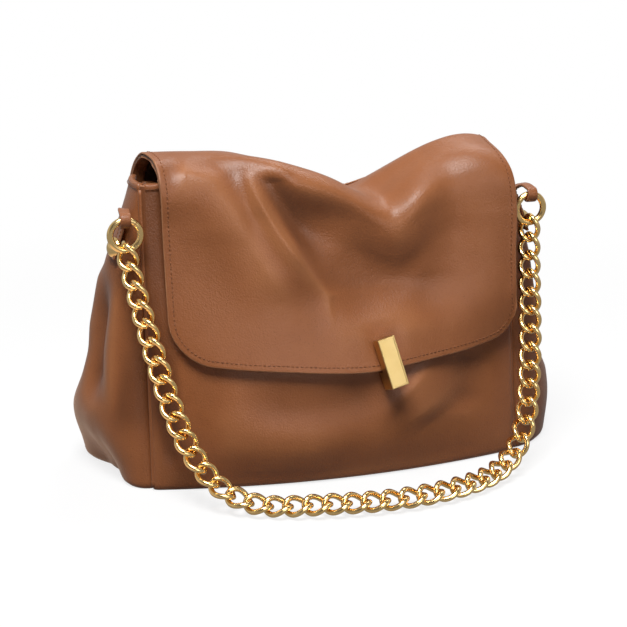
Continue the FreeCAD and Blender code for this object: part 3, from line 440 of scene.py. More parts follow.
# Materials
def newMaterial(name):
    material = bpy.data.materials.new(name)
    material.use_nodes = True
    return material, material.node_tree, material.node_tree.nodes["Principled BSDF"]


def srgb(*levels):
    linear = [((c / 255 + 0.055) / 1.055) ** 2.4 if c > 10 else c / 255 / 12.92 for c in levels]
    return (*linear, 1.0)


leatherBase = {
    "tones": (-0.6, 1.6), "poreShare": 0.35, "grainDepth": 0.0003, "sheen": 0.06, "sheenRough": 0.5,
}


def leatherMaterial(name, look):
    material, tree, shader = newMaterial(name)
    grain = placeGroup(tree, leatherGrain, {"CellScale": look["cell"], "PatchScale": look["patch"]})
    # painted shade in fold valleys and painted highlight on fold ridges, read from the mesh attribute
    shade = addNode(tree, "ShaderNodeAttribute", {}, attribute_name="foldShadeAndHighlight")["Fac"]
    tone = spreadValue(tree, grain["Tone"], *leatherBase["tones"])
    pores = mathNode(tree, "MULTIPLY", grain["Pore"], leatherBase["poreShare"])
    valleyShade = mathNode(tree, "MAXIMUM", shade, 0.0)
    ridge = mathNode(tree, "MAXIMUM", mathNode(tree, "MULTIPLY", shade, -1.0), 0.0)
    colour = mixColor(tree, tone, look["deep"], look["light"])
    colour = mixColor(tree, pores, colour, look["poreAndShade"])
    # painted shade: fold valleys are darkened toward the pore colour, which serves both real pores and this
    # shade
    colour = mixColor(tree, mathNode(tree, "MULTIPLY", valleyShade, look["valleyShade"]), colour, look["poreAndShade"])
    # painted highlight: fold ridges are lightened toward a paler brown, standing in for sheen on the folds
    colour = mixColor(tree, mathNode(tree, "MULTIPLY", ridge, look["ridge"]), colour, look["ridgeHighlight"])
    smooth, rough = look["gloss"]
    feed(tree, shader, {
        "Base Color": colour,
        "Roughness": spreadValue(tree, grain["Tone"], rough, smooth),
        "Normal": bumpFrom(tree, grain["Height"], look["bump"], leatherBase["grainDepth"]),
        "Specular IOR Level": look["shine"],
        "Sheen Weight": leatherBase["sheen"],
        "Sheen Roughness": leatherBase["sheenRough"],
    })
    return material


def metalMaterial(name, look):
    material, tree, shader = newMaterial(name)
    wear = placeGroup(tree, rubWear, {"LineScale": look["line"], "SpotScale": look["spot"]})
    feed(tree, shader, {
        "Base Color": mixColor(tree, wear["Smear"], look["deep"], look["light"]),
        "Roughness": spreadValue(tree, wear["Smear"], *look["gloss"]),
        "Normal": bumpFrom(tree, wear["Height"], look["bump"], wearShape["depth"]),
        "Metallic": 1.0,
    })
    return material


def clothMaterial(name, look):
    material, tree, shader = newMaterial(name)
    weave = placeGroup(tree, twillWeave, {"Threads": look["threads"]})
    feed(tree, shader, {
        "Base Color": mixColor(tree, weave["Tone"], look["deep"], look["light"]),
        "Roughness": spreadValue(tree, weave["Tone"], *look["gloss"]),
        "Normal": bumpFrom(tree, weave["Height"], look["bump"], look["depth"]),
        "Sheen Weight": look["sheen"],
    })
    return material


cognacLook = {
    "cell": 760.0, "patch": 11.0, "bump": 0.45, "gloss": (0.3, 0.43), "shine": 0.36,
    # the two fold shares set the strength of the painted shade in fold valleys and the painted highlight on
    # fold ridges
    "valleyShade": 0.6, "ridge": 0.42,
    "deep": srgb(138, 82, 46), "light": srgb(153, 94, 55),
    "poreAndShade": srgb(84, 44, 20), "ridgeHighlight": srgb(176, 116, 74),
}
edgeLook = {
    "cell": 1500.0, "patch": 60.0, "bump": 0.15, "gloss": (0.4, 0.6), "shine": 0.4,
    "valleyShade": 0.0, "ridge": 0.0,
    "deep": srgb(136, 84, 52), "light": srgb(176, 122, 84),
    "poreAndShade": srgb(90, 52, 30), "ridgeHighlight": srgb(170, 118, 84),
}
threadLook = {
    "cell": 4000.0, "patch": 300.0, "bump": 0.6, "gloss": (0.55, 0.75), "shine": 0.3,
    "valleyShade": 0.0, "ridge": 0.0,
    "deep": srgb(110, 63, 35), "light": srgb(158, 101, 64),
    "poreAndShade": srgb(76, 42, 22), "ridgeHighlight": srgb(170, 118, 84),
}
boardLook = {
    "cell": 300.0, "patch": 40.0, "bump": 0.4, "gloss": (0.7, 0.9), "shine": 0.3,
    "valleyShade": 0.0, "ridge": 0.0,
    "deep": srgb(120, 98, 72), "light": srgb(146, 122, 92),
    "poreAndShade": srgb(92, 74, 52), "ridgeHighlight": srgb(150, 126, 96),
}
goldLook = {
    "line": 900.0, "spot": 70.0, "bump": 0.02, "gloss": (0.12, 0.24),
    "deep": srgb(238, 196, 124), "light": srgb(250, 218, 156),
}
satinLook = {
    "line": 2600.0, "spot": 90.0, "bump": 0.08, "gloss": (0.26, 0.4),
    "deep": srgb(208, 176, 112), "light": srgb(226, 198, 138),
}
steelLook = {
    "line": 1500.0, "spot": 80.0, "bump": 0.06, "gloss": (0.28, 0.45),
    "deep": srgb(160, 160, 158), "light": srgb(190, 190, 188),
}
magnetLook = {
    "line": 700.0, "spot": 120.0, "bump": 0.04, "gloss": (0.2, 0.34),
    "deep": srgb(128, 128, 132), "light": srgb(160, 160, 164),
}
liningLook = {
    "threads": 1300.0, "bump": 0.5, "depth": 0.0003, "gloss": (0.7, 0.9), "sheen": 0.2,
    "deep": srgb(74, 48, 32), "light": srgb(108, 76, 52),
}

cognac = leatherMaterial("cognacLeather", cognacLook)
edgePaint = leatherMaterial("edgePaint", edgeLook)
thread = leatherMaterial("waxedThread", threadLook)
fibreBoard = leatherMaterial("fibreBoard", boardLook)
gold = metalMaterial("polishedGold", goldLook)
satinGold = metalMaterial("satinGold", satinLook)
plainSteel = metalMaterial("plainSteel", steelLook)
magnetSkin = metalMaterial("magnetNickel", magnetLook)
lining = clothMaterial("liningTwill", liningLook)
edgedLeather = [cognac, edgePaint]
print("materials made:", len(bpy.data.materials))


# The bag's walls, on the same levels as the solids
walls = {
    "height": 203.0, "halfFoot": 132.0, "halfMouth": 129.0,
    "frontFoot": 48.0, "frontMouth": 19.0, "backFoot": 58.0, "backMouth": 19.0,
    "frontBelly": 28.0, "backBelly": 10.0, "gussetBulge": 43.0,
    "levels": (0, 0.15, 0.3, 0.4, 0.51, 0.63, 0.75, 0.88, 1),
    "frontShares": (0.6, 0.93, 1, 0.93, 0.68, 0.4, 0.19, 0.08, 0.04),
    "backShares": (0.6, 0.93, 1, 0.93, 0.75, 0.5, 0.3, 0.15, 0.1),
    "gussetShares": (0.93, 1, 0.9, 0.83, 0.73, 0.62, 0.47, 0.26, 0.08),
    "leather": 1.6, "lining": 0.8, "plyGap": 2.4, "seam": 1.9, "seamCalm": 26.0,
    "rimSag": 25.0, "sagCentre": 25.0, "sagSpread": 40.0,
    "notchSag": 9.0, "notchCentre": 43.0, "notchSpread": 22.0, "backDrop": 5.0, "foldHeight": 178.64,
}


def halfWidth(level):
    return walls["halfFoot"] + (walls["halfMouth"] - walls["halfFoot"]) * level


def frontEdge(level):
    return -(walls["frontFoot"] + (walls["frontMouth"] - walls["frontFoot"]) * level)


def backEdge(level):
    return walls["backFoot"] + (walls["backMouth"] - walls["backFoot"]) * level


def halfChord(wall, level):
    if wall in ("front", "back"):
        return halfWidth(level)
    return (backEdge(level) - frontEdge(level)) / 2 - walls["seam"]


# The left gusset is drawn in behind the front corner of the base and swells at the heel
footHalf = (walls["frontFoot"] + walls["backFoot"]) / 2 - walls["seam"]
heelTop = 0.2 * walls["height"]
footFolds = [
    fold([(-0.7 * footHalf, 0), (-0.15 * footHalf, 0)], -19.0, (30, 30), (0, 0)),
    fold([(0.7 * footHalf, 0), (0.55 * footHalf, heelTop)], 9.0, (24, 24), (0, 0)),
]


def footShape(wall, level, lateral):
    if wall != "left":
        return 0.0
    total = foldField(lateral, walls["height"] * level, footFolds)
    return total * ease((halfChord(wall, level) - np.abs(lateral)) / walls["seamCalm"])


def wallPoint(wall, level, lateral, offset):
    level, lateral = np.broadcast_arrays(np.asarray(level, float), np.asarray(lateral, float))
    half = halfChord(wall, level)
    offset = offset + footShape(wall, level, lateral)
    if wall in ("front", "back"):
        shares, belly = walls[wall + "Shares"], walls[wall + "Belly"]
    else:
        shares, belly = walls["gussetShares"], walls["gussetBulge"]
    bulge = belly * throughPoints(walls["levels"], shares, level)
    radius = (half ** 2 + bulge ** 2) / (2 * bulge)
    turn = np.arcsin(np.clip(lateral / radius, -1, 1))
    out = (radius + offset) * np.cos(turn) - (radius - bulge)
    over = (radius + offset) * np.sin(turn)
    z = walls["height"] * level
    if wall == "front":
        return np.stack([over, frontEdge(level) - out, z], axis=-1)
    if wall == "back":
        return np.stack([over, backEdge(level) + out, z], axis=-1)
    toward = -1 if wall == "left" else 1
    middle = (backEdge(level) + frontEdge(level)) / 2
    return np.stack([toward * (halfWidth(level) + out), middle + over, z], axis=-1)


# Right of the flap's sharp ridge the leather falls into a broad hollow, and the front gives way behind it
hollowShape = {
    "deep": 9.0, "right": 124.0, "foot": (100.0, 36.0), "under": 45.0, "powers": (0.8, 1.6), "peak": 0.208,
    "brow": 11.0, "browStart": (-62.0, 36.0), "browEnd": (52.0, 40.0),
    "ridge": ((-61, 221), (-58, 206), (-53, 195), (-47, 184), (-41, 173), (-34, 162), (-26, 150), (-18, 139),
              (-9, 128)),
    "crest": ((-131, 218), (-85, 218.5), (-55, 218), (-43, 216), (-16, 208.5), (6, 200), (22, 191.5),
              (34, 185), (43, 183), (51, 187), (60, 193.5), (75, 203), (95, 212), (112, 215.5), (122, 214.6),
              (131, 211.6)),
}


def hollowDepth(x, z):
    ridge = np.array(hollowShape["ridge"], float)[::-1]
    left = np.interp(z, ridge[:, 1], ridge[:, 0])
    share = np.clip((x - left) / (hollowShape["right"] - left), 0, 1)
    leftPower, rightPower = hollowShape["powers"]
    across = share ** leftPower * (1 - share) ** rightPower / hollowShape["peak"]
    under = ease((tableOf(hollowShape["crest"], x) - z) / hollowShape["under"])
    return hollowShape["deep"] * across * under * easeOver(z, hollowShape["foot"])


# Folds of the soft walls: paths are (x, z) on the front and back, (y, z) on the gussets
gussetTuck = [(-5, 150), (-4, 126), (-4, 100), (-9, 70), (-15, 47)]
wallFolds = {
    "front": [
        fold([(-60, 196), (-25, 180), (10, 168), (40, 164), (90, 164)], -5.0, (24, 24), (0.15, 0.15)),
        fold([(-124, 70), (-123, 40), (-119, 22), (-114, 8)], -3.0, (9, 7)),
        fold([(-104, 42), (-45, 34), (10, 28)], 3.0, (24, 26)),
        fold([(30, 72), (4, 58), (-40, 54), (-86, 62)], -3.0, (17, 17)),
        fold([(40, 70), (54, 52), (62, 34)], 3.0, (20, 18)),
        fold([(98, 84), (91, 60), (86, 34)], -2.5, (18, 16)),
    ],
    "back": [
        fold([(-95, 165), (-60, 130), (-25, 110)], 3.0, (14, 16)),
        fold([(90, 160), (60, 125), (30, 100)], 3.0, (15, 14)),
        fold([(-70, 40), (-20, 48), (40, 40)], -2.5, (14, 18)),
        fold([(15, 172), (20, 150), (10, 120)], -3.0, (18, 18)),
    ],
    "left": [
        fold(gussetTuck, -9.5, (11, 11), (0.4, 0.3)),
        fold([(-17, 152), (-20, 135), (-24, 98), (-28, 62), (-32, 42)], 4.0, (5, 6), (0.3, 0.35), 1.5),
        fold([(-25, 160), (-29, 128), (-33, 92), (-38, 55), (-41, 28)], -4.5, (4.5, 5), (0.3, 0.35)),
        fold([(14, 150), (18, 110), (18, 80)], 3.0, (8, 9)),
        fold([(26, 130), (34, 85), (38, 45)], -3.5, (7, 7)),
    ],
    "right": [
        fold(gussetTuck, -9.0, (11, 11), (0.4, 0.3)),
        fold([(-14, 158), (-18, 130), (-22, 95), (-26, 60)], 3.5, (6, 6), point=1.6),
        fold([(-24, 150), (-30, 110), (-36, 65), (-40, 35)], -4.0, (5, 5)),
        fold([(18, 150), (22, 112), (24, 75)], 3.0, (8, 8)),
    ],
}
wallLook = {
    "front": (150, 120), "back": (110, 100), "left": (90, 120), "right": (90, 120), "evenShare": 0.55,
    "slowWave": (0.7, 80), "fineWave": (0.12, 26, 3), "sideCalm": 16.0, "footCalm": 14.0,
    "topOver": 4.0, "topCalm": 20.0, "rollReach": 4.5, "rollDrop": 2.4, "rollShare": 0.98, "shadeReach": 60,
}
outwardOf = {"front": (0, -1, 0), "back": (0, 1, 0), "left": (-1, 0, 0), "right": (1, 0, 0)}


def wallField(wall, a, z, toSide):
    slowRise, slowPitch = wallLook["slowWave"]
    fineRise, finePitch, fineSeed = wallLook["fineWave"]
    field = foldField(a, z, wallFolds[wall]) + slowRise * softWaves(a, z, slowPitch, len(wall))
    field = field + fineRise * softWaves(a, z, finePitch, fineSeed)
    if wall == "front":
        field = field - hollowDepth(a, z)
    top = walls["height"] + wallLook["topOver"]
    calm = ease(toSide / wallLook["sideCalm"]) * ease(z / wallLook["footCalm"])
    return field * calm * ease((top - z) / wallLook["topCalm"])


def crowdedEnds(count, evenShare):
    spread = np.linspace(-1, 1, count)
    return evenShare * spread + (1 - evenShare) * np.sin(spread * math.pi / 2)


def wallSkin(wall, offset, grid, topOf, inset=0.0, foot=0.0, roll=True):
    cols, rows = grid
    spread = crowdedEnds(cols, wallLook["evenShare"])
    rise = np.linspace(1, 0, rows)
    half = halfChord(wall, 0.5) - inset
    top = topOf(spread * half) / walls["height"]
    level = foot + (top[None, :] - foot) * rise[:, None]
    lateral = spread[None, :] * (halfChord(wall, level) - inset)
    points = wallPoint(wall, level, lateral, offset)
    normal = gridNormals(points, outwardOf[wall])
    a = points[..., 0] if wall in ("front", "back") else points[..., 1]
    z = points[..., 2]
    toSide = halfChord(wall, level) - inset - np.abs(lateral)
    field = wallField(wall, a, z, toSide)
    move = field.copy()
    if roll:
        for away in (toSide, z):
            near = np.clip(1 - away / wallLook["rollReach"], 0, 1)
            move = move - wallLook["rollDrop"] * (1 - np.sqrt(1 - wallLook["rollShare"] * near ** 2))
    points = points + normal * move[..., None]
    normal = gridNormals(points, outwardOf[wall])
    return points, normal, np.stack([a, z], axis=-1), foldShadeAndHighlight(field, wallLook["shadeReach"])


def dip(x, centre, spread):
    return np.exp(-((x - centre) / spread) ** 2)


def frontRim(x):
    sag = walls["rimSag"] * dip(x, walls["sagCentre"], walls["sagSpread"])
    return walls["height"] - sag - walls["notchSag"] * dip(x, walls["notchCentre"], walls["notchSpread"])


def innerBackRim(x):
    return frontRim(x) - walls["backDrop"]


def flatRim(x):
    return np.full_like(x, walls["height"])


def backRim(x):
    return np.full_like(x, walls["foldHeight"])


rimOf = {"front": frontRim, "back": backRim, "left": flatRim, "right": flatRim}
panelNode = {"front": "front_panel", "back": "back_panel", "left": "left_gusset", "right": "right_gusset"}
# painted shade beside the flap's left edge, on the front and round the corner, standing in for the shadow
# under the flap's edge
flapEdgeShade = {"front": -108.0, "left": -26.0, "fade": 9.0, "depth": 1.0, "foot": (28.0, 28.0)}
skins = {}
for wall in ("front", "back", "left", "right"):
    skins[wall] = wallSkin(wall, 0.0, wallLook[wall], rimOf[wall])
    points, normal, place, shade = skins[wall]
    if wall in flapEdgeShade:
        # painted shadow strip, fading out towards the foot
        dark = ease((flapEdgeShade[wall] - place[..., 0]) / flapEdgeShade["fade"])
        dark = dark * easeOver(place[..., 1], flapEdgeShade["foot"])
        shade = np.clip(shade + flapEdgeShade["depth"] * dark, -1, 1)
    piece = sheetFromGrid(wall + "Leather", points, normal, walls["leather"], edgedLeather, place, shade)
    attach(piece, "bag")
    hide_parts(panelNode[wall])
print("leather walls made")

# Linings, behind the leather on the same folds
liningFit = {"sideOffset": 3.0, "grid": (70, 60), "inset": 5.1, "foot": 0.035, "rimSteps": 2}
liningRim = {"front": frontRim, "back": innerBackRim, "left": flatRim, "right": flatRim}
liningNode = {
    "front": "front_lining", "back": "back_lining",
    "left": "left_gusset_lining", "right": "right_gusset_lining",
}
for wall in ("front", "back", "left", "right"):
    offset = -(walls["leather"] + walls["plyGap"]) if wall in ("front", "back") else -liningFit["sideOffset"]
    points, normal, place = wallSkin(
        wall, offset, liningFit["grid"], liningRim[wall], liningFit["inset"], liningFit["foot"], False)[:3]
    piece = sheetFromGrid(
        wall + "Lining", points, normal, walls["lining"], [lining], place, None, liningFit["rimSteps"])
    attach(piece, "bag")
    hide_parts(liningNode[wall])

# Base: outer leather and the lining over the board, cut to the foot of the walls
baseLook = {
    "cornerGap": 5.0, "steps": 40, "rings": (1.0, 0.985, 0.95, 0.85, 0.7, 0.5, 0.3, 0.12),
    "rimShares": (0.25, 0.75), "crownPower": 4, "leatherInset": 2.2,
    "liningInset": 6.0, "liningLift": 3.6, "liningCrown": 0.6,
}


def footLoop(inset):
    loop = []
    for wall, toward in (("front", 1), ("right", 1), ("back", -1), ("left", -1)):
        reach = float(halfChord(wall, 0.0)) - inset - baseLook["cornerGap"]
        lateral = np.linspace(-1, 1, baseLook["steps"]) * reach * toward
        loop.append(wallPoint(wall, 0.0, lateral, -inset)[:, :2])
    return np.concatenate(loop)


def baseSheet(name, inset, bottom, thickness, crown, material):
    loop = footLoop(inset)
    middle = loop.mean(axis=0)
    shares = baseLook["rings"]
    verts, faces = [], []
    count = len(loop)
    for face in (0, 1):
        for share in shares:
            ring = middle + (loop - middle) * share
            lift = bottom + face * thickness + crown * (1 - share ** baseLook["crownPower"])
            if share == shares[0]:
                lift = bottom + baseLook["rimShares"][face] * thickness
            verts.append(np.column_stack([ring, np.full(count, lift)]))
    layer = len(shares) * count
    for face in (0, 1):
        for k in range(len(shares) - 1):
            for i in range(count):
                n = (i + 1) % count
                a, b = face * layer + k * count, face * layer + (k + 1) * count
                quad = (a + i, b + i, b + n, a + n)
                faces.append(quad if face == 0 else quad[::-1])
        hub = face * layer + (len(shares) - 1) * count
        cap = tuple(hub + i for i in range(count))
        faces.append(cap[::-1] if face == 0 else cap)
    for i in range(count):
        n = (i + 1) % count
        faces.append((i, n, layer + n, layer + i))
    verts = np.concatenate(verts)
    return addMesh(name, verts, faces, [material], None, verts[:, :2])


piece = baseSheet("baseLeather", baseLook["leatherInset"], 0.0, walls["leather"], 0.0, cognac)
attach(piece, "bag")
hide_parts("base_panel")
piece = baseSheet(
    "baseLining", baseLook["liningInset"], baseLook["liningLift"], walls["lining"],
    baseLook["liningCrown"], lining)
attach(piece, "bag")
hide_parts("base_lining")
print("linings and base made")

# Turned seams at the four upright corners, with a row of thread beside each on the back
seamLook = {
    "width": 3.0, "sides": 12, "low": 0.008, "high": 0.012, "steps": 60, "cornerIn": 0.2, "sink": 2.3,
    "threadIn": 5.2, "threadRows": slice(2, -3), "stitch": {"pitch": 3.4, "length": 2.5, "radius": 0.32},
}
seamParts, threadParts = [], []
seamSection = roundSection(seamLook["width"], seamLook["width"], seamLook["sides"], 2)
for wall, top in (("front", 1.0), ("back", walls["foldHeight"] / walls["height"])):
    for toward in (-1, 1):
        level = np.linspace(seamLook["low"], top - seamLook["high"], seamLook["steps"])
        corner = wallPoint(wall, level, toward * (halfWidth(level) - seamLook["cornerIn"]), -seamLook["sink"])
        seamParts.append(sweepSection(corner, alike((1, 0, 0), len(level)), seamSection))
points, normal = skins["back"][:2]
toSide = np.abs(np.abs(points[..., 0]) - halfWidth(points[..., 2] / walls["height"]))
half = points.shape[1] // 2
for first, last in ((0, half), (half, points.shape[1])):
    nearest = np.argmin(np.abs(toSide[:, first:last] - seamLook["threadIn"]), axis=1) + first
    column = seamLook["threadRows"], int(np.median(nearest))
    threadParts += stitchParts(points[column], normal[column], seamLook["stitch"])
piece = addParts("cornerSeams", seamParts, cognac)
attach(piece, "bag")
piece = addParts("cornerThread", threadParts, thread)
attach(piece, "bag")

# Folded rim over the leather and lining round the mouth
rimLook = {
    "half": 126.0, "steps": 120, "width": 6.4, "depth": 6.0, "corner": 3.5, "sink": 2.4, "drop": 1.6,
    "sideGap": 1.5, "sideSteps": 40, "sideWidth": 5.0, "sideSink": 1.6,
    "boundFrom": 168.0, "boundIn": 3.6, "boundBack": 5.6, "boundSteps": 24, "boundSection": (7.0, 3.6),
    "backHalf": 122.0, "backSteps": 110, "backSink": 4.4, "backDrop": 1.2, "backSection": (3.4, 4.4, 12),
    "threadDrop": 0.009, "threadOut": 0.75, "sideThreadLevel": 0.992, "sideThreadOut": 0.85,
    "sideThreadShare": 0.9, "stitch": {"pitch": 3.2, "length": 2.4, "radius": 0.3},
}
x = np.linspace(-1, 1, rimLook["steps"]) * rimLook["half"]
level = frontRim(x) / walls["height"]
give = wallField("front", x, frontRim(x), halfWidth(level) - np.abs(x))
path = wallPoint("front", level, x, -rimLook["sink"])
path[:, 2] -= rimLook["drop"]
path[:, 1] -= give
section = roundSection(rimLook["width"], rimLook["depth"], corner=rimLook["corner"])
rimParts = [sweepSection(path, alike((0, 1, 0), len(x)), section)]
stitchRow = wallPoint("front", level - rimLook["threadDrop"], x, rimLook["threadOut"])
stitchRow[:, 1] -= give
rimThread = stitchParts(stitchRow, alike((0, -1, 0.1), len(x)), rimLook["stitch"])
section = roundSection(rimLook["sideWidth"], rimLook["depth"], corner=rimLook["corner"])
for wall, toward in (("left", -1), ("right", 1)):
    y = np.linspace(-1, 1, rimLook["sideSteps"]) * (float(halfChord(wall, 1.0)) - rimLook["sideGap"])
    path = wallPoint(wall, 1.0, y, -rimLook["sideSink"])
    path[:, 2] -= rimLook["drop"]
    rimParts.append(sweepSection(path, alike((1, 0, 0), len(y)), section))
    along = y * rimLook["sideThreadShare"]
    stitchRow = wallPoint(wall, rimLook["sideThreadLevel"], along, rimLook["sideThreadOut"])
    rimThread += stitchParts(stitchRow, alike((toward, 0, 0.1), len(y)), rimLook["stitch"])
    # bound upright edge that joins each gusset to the back lining above the back fold
    boundTop = walls["height"] - walls["backDrop"]
    level = np.linspace(rimLook["boundFrom"], boundTop, rimLook["boundSteps"]) / walls["height"]
    path = wallPoint("back", level, toward * (halfWidth(level) - rimLook["boundIn"]), -rimLook["boundBack"])
    rimParts.append(sweepSection(path, alike((1, 0, 0), len(level)), roundSection(*rimLook["boundSection"])))
x = np.linspace(-1, 1, rimLook["backSteps"]) * rimLook["backHalf"]
path = wallPoint("back", innerBackRim(x) / walls["height"], x, -rimLook["backSink"])
path[:, 2] -= rimLook["backDrop"]
rimParts.append(sweepSection(path, alike((0, 1, 0), len(x)), roundSection(*rimLook["backSection"])))
piece = addParts("mouthRim", rimParts, cognac)
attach(piece, "bag")
piece = addParts("mouthThread", rimThread, thread)
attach(piece, "bag")
print("seams and rim made")

# Slip pocket on the back lining, with a bound top edge
pocketLook = {
    "half": 75.0, "low": 70.0, "high": 155.0, "cols": 70, "rows": 50, "offset": -5.1, "rimSteps": 2,
    "slack": 1.4, "slackRise": 60.0, "binding": 9.0, "bindingOut": 1.1, "threadSink": 0.05,
    "stitch": {"pitch": 3.0, "length": 2.2, "radius": 0.28},
}
xs = np.linspace(-1, 1, pocketLook["cols"]) * pocketLook["half"]
zs = np.linspace(pocketLook["high"], pocketLook["low"], pocketLook["rows"])
gx, gz = np.meshgrid(xs, zs)
points = wallPoint("back", gz / walls["height"], gx, pocketLook["offset"])
normal = gridNormals(points, outwardOf["back"])
slack = np.cos(gx / pocketLook["half"] * math.pi / 2) * pocketLook["slack"]
slack = slack * ease((gz - pocketLook["low"]) / pocketLook["slackRise"])
points = points + normal * (foldField(gx, gz, wallFolds["back"]) - slack)[..., None]
normal = gridNormals(points, outwardOf["back"])
place = np.stack([gx, gz], axis=-1)
piece = sheetFromGrid(
    "slipPocket", points, normal, walls["lining"], [lining], place, None, pocketLook["rimSteps"])
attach(piece, "bag")
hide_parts("slip_pocket")
rowPitch = (pocketLook["high"] - pocketLook["low"]) / pocketLook["rows"]
bound = int(round(pocketLook["binding"] / rowPitch)) + 1
binding = points[:bound] - normal[:bound] * pocketLook["bindingOut"]
piece = sheetFromGrid("pocketBinding", binding, normal[:bound], walls["leather"], edgedLeather)
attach(piece, "bag")
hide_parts("pocket_binding")
threadRow = bound - 2
inner = binding[threadRow] - normal[threadRow] * (walls["leather"] - pocketLook["threadSink"])
piece = addParts("pocketThread", stitchParts(inner, -normal[threadRow], pocketLook["stitch"]), thread)
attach(piece, "bag")
print("pocket made")

# Flap: one sheet from the back fold, over the mouth and down the front
flapShape = {
    "leather": 1.7, "lining": 0.9, "liningGap": 0.35, "cols": 190, "rows": 190, "evenShare": 0.4,
    "left": -116.5, "right": 129.0, "backLeft": -130.5, "backTaper": 0.5, "edgeGap": 0.02,
    "rightEdge": ((0, 130), (0.12, 127), (0.26, 121), (0.36, 122), (0.48, 126.5), (0.6, 128.6), (0.8, 127.4),
                  (1, 127.6)),
    "leftCorner": 27.0, "rightCorner": 15.0,
    "hem": ((-116, 90), (-97, 88.3), (-76, 86), (-35, 82.7), (-14, 80.8), (20, 79.3), (40, 80.8), (63, 82.7),
            (95, 85.2), (116, 89), (131, 94)),
    "backCrest": ((-131, 221), (-85, 219.5), (-55, 217), (-43, 213.5), (-16, 203), (6, 195), (25, 187.5),
                  (35, 190), (45, 195.5), (60, 204), (75, 211.5), (95, 219), (108, 221.6), (117, 221.7),
                  (124, 220.6), (131, 218.4)),
    "flare": ((-116, 0), (20, 0), (70, 1.5), (100, 4.5), (129, 8)), "flareFrom": (70.0, 50.0),
    "offset": 7.7, "faceHalf": 128.8, "backHalf": 129.0, "browShare": 0.75, "browFrom": (125.0, 35.0),
    "lean": 6.5, "leanStart": (-117.0, 20.0), "leanEnd": (-78.0, 30.0),
}
# The flap's section from back to front, in the order that flapProfile takes it
flapSection = {
    "foldGap": 0.4,
    "backRise": ((0.4, 0.03, 0.42), (-4.0, -0.02, 0.82)),  # out, lean by rise, share of rise
    "top": 8.0, "middle": (-5.0, 1.4),
    "shoulder": ((-17.0, 0.3, 0.9, 1.0, 0.0, 0.14),  # y, shares of flare, brow and lean, drop, lift by brow
                 (-25.5, 0.6, 1.05, 0.9, 9.0, 0.3)),
    "faceDrop": 20.0, "faceTop": 176.0, "faceShares": (0, 0.16, 0.34, 0.54, 0.76, 1),
}
pillowPath = [
    (-112, 216), (-101, 210), (-85, 200), (-69, 176), (-55, 150), (-44, 132), (-36, 117), (-28, 102),
]
dropPath = [(-46, 213), (-41, 196), (-33, 182), (-24, 170), (-15, 158), (-4, 146)]
flapFolds = [
    fold(hollowShape["ridge"], 4.5, (5, 20), (0.35, 0.6), 1.5),
    fold(pillowPath, 5.0, (15, 24), (0.1, 0.35)),
    fold([(-70, 216), (-62, 195), (-53, 176), (-41, 152), (-28, 128)], -1.6, (8, 9), (0.1, 0.7)),
    fold(dropPath, -4.0, (16, 8), (0.12, 0.45)),
    fold([(-20, 116), (20, 110), (70, 114)], 1.6, (20, 20)),
    fold([(101, 206), (99, 170), (98, 130), (98, 100)], 2.4, (22, 44), (0.3, 0.3)),
]
flapRelief = {
    "start": (0.30, 0.12), "waves": ((0.3, 90, 11), (0.08, 24, 5)), "edgeShare": 0.35, "edgeCalm": 18.0,
    "hemCalm": 0.08, "hemShare": 0.25, "backCalm": 0.08, "length": 230.0, "shadeReach": 90,
    "seatX": 26.0, "seatWide": 13.0, "seatZ": 92.0, "seatTall": 18.0, "seatPower": 4, "seatShare": 0.95,
}


def hemLine(x):
    z = tableOf(flapShape["hem"], x)
    for side, toward in (("left", -1), ("right", 1)):
        corner = flapShape[side + "Corner"]
        into = np.clip(corner - toward * (flapShape[side] - x), 0, corner)
        z = z + corner - np.sqrt(np.maximum(corner ** 2 - into ** 2, 0))
    return z


# Over the hollow the flap's front shoulder leans out
def browReach(x):
    start, end = easeOver(x, hollowShape["browStart"]), easeOver(x, hollowShape["browEnd"])
    return hollowShape["brow"] * start * (1 - end)


def faceY(x, z):
    level = np.clip(z / walls["height"], 0, 1)
    half = flapShape["faceHalf"]
    y = wallPoint("front", level, np.clip(x, -half, half), flapShape["offset"])[..., 1]
    y = y - tableOf(flapShape["flare"], x) * easeOver(z, flapShape["flareFrom"])
    return y - flapShape["browShare"] * browReach(x) * easeOver(z, flapShape["browFrom"])


def flapProfile(x):
    backZ, frontZ = float(tableOf(flapShape["backCrest"], x)), float(tableOf(hollowShape["crest"], x))
    half = flapShape["backHalf"]
    foldLevel = walls["foldHeight"] / walls["height"]
    foot = float(wallPoint("back", foldLevel, np.clip(x, -half, half), 0.0)[..., 1])
    hem = float(hemLine(x))
    foldZ = walls["foldHeight"] + flapSection["foldGap"]
    flare, brow = float(tableOf(flapShape["flare"], x)), float(browReach(x))
    leanShare = easeOver(x, flapShape["leanStart"]) * (1 - easeOver(x, flapShape["leanEnd"]))
    lean = flapShape["lean"] * float(leanShare)
    rise = backZ - foldZ
    points = [(foot, foldZ)]
    for out, slope, share in flapSection["backRise"]:
        points.append((foot + out + slope * rise, foldZ + share * rise))
    middleY, middleLift = flapSection["middle"]
    points += [(flapSection["top"], backZ), (middleY, (backZ + frontZ) / 2 + middleLift)]
    for y, byFlare, byBrow, byLean, drop, lift in flapSection["shoulder"]:
        points.append((y - byFlare * flare - byBrow * brow + byLean * lean, frontZ - drop + lift * brow))
    low = min(frontZ - flapSection["faceDrop"], flapSection["faceTop"])
    for share in flapSection["faceShares"]:
        z = low + (hem - low) * share
        points.append((float(faceY(x, z)), z))
    return np.array(points)


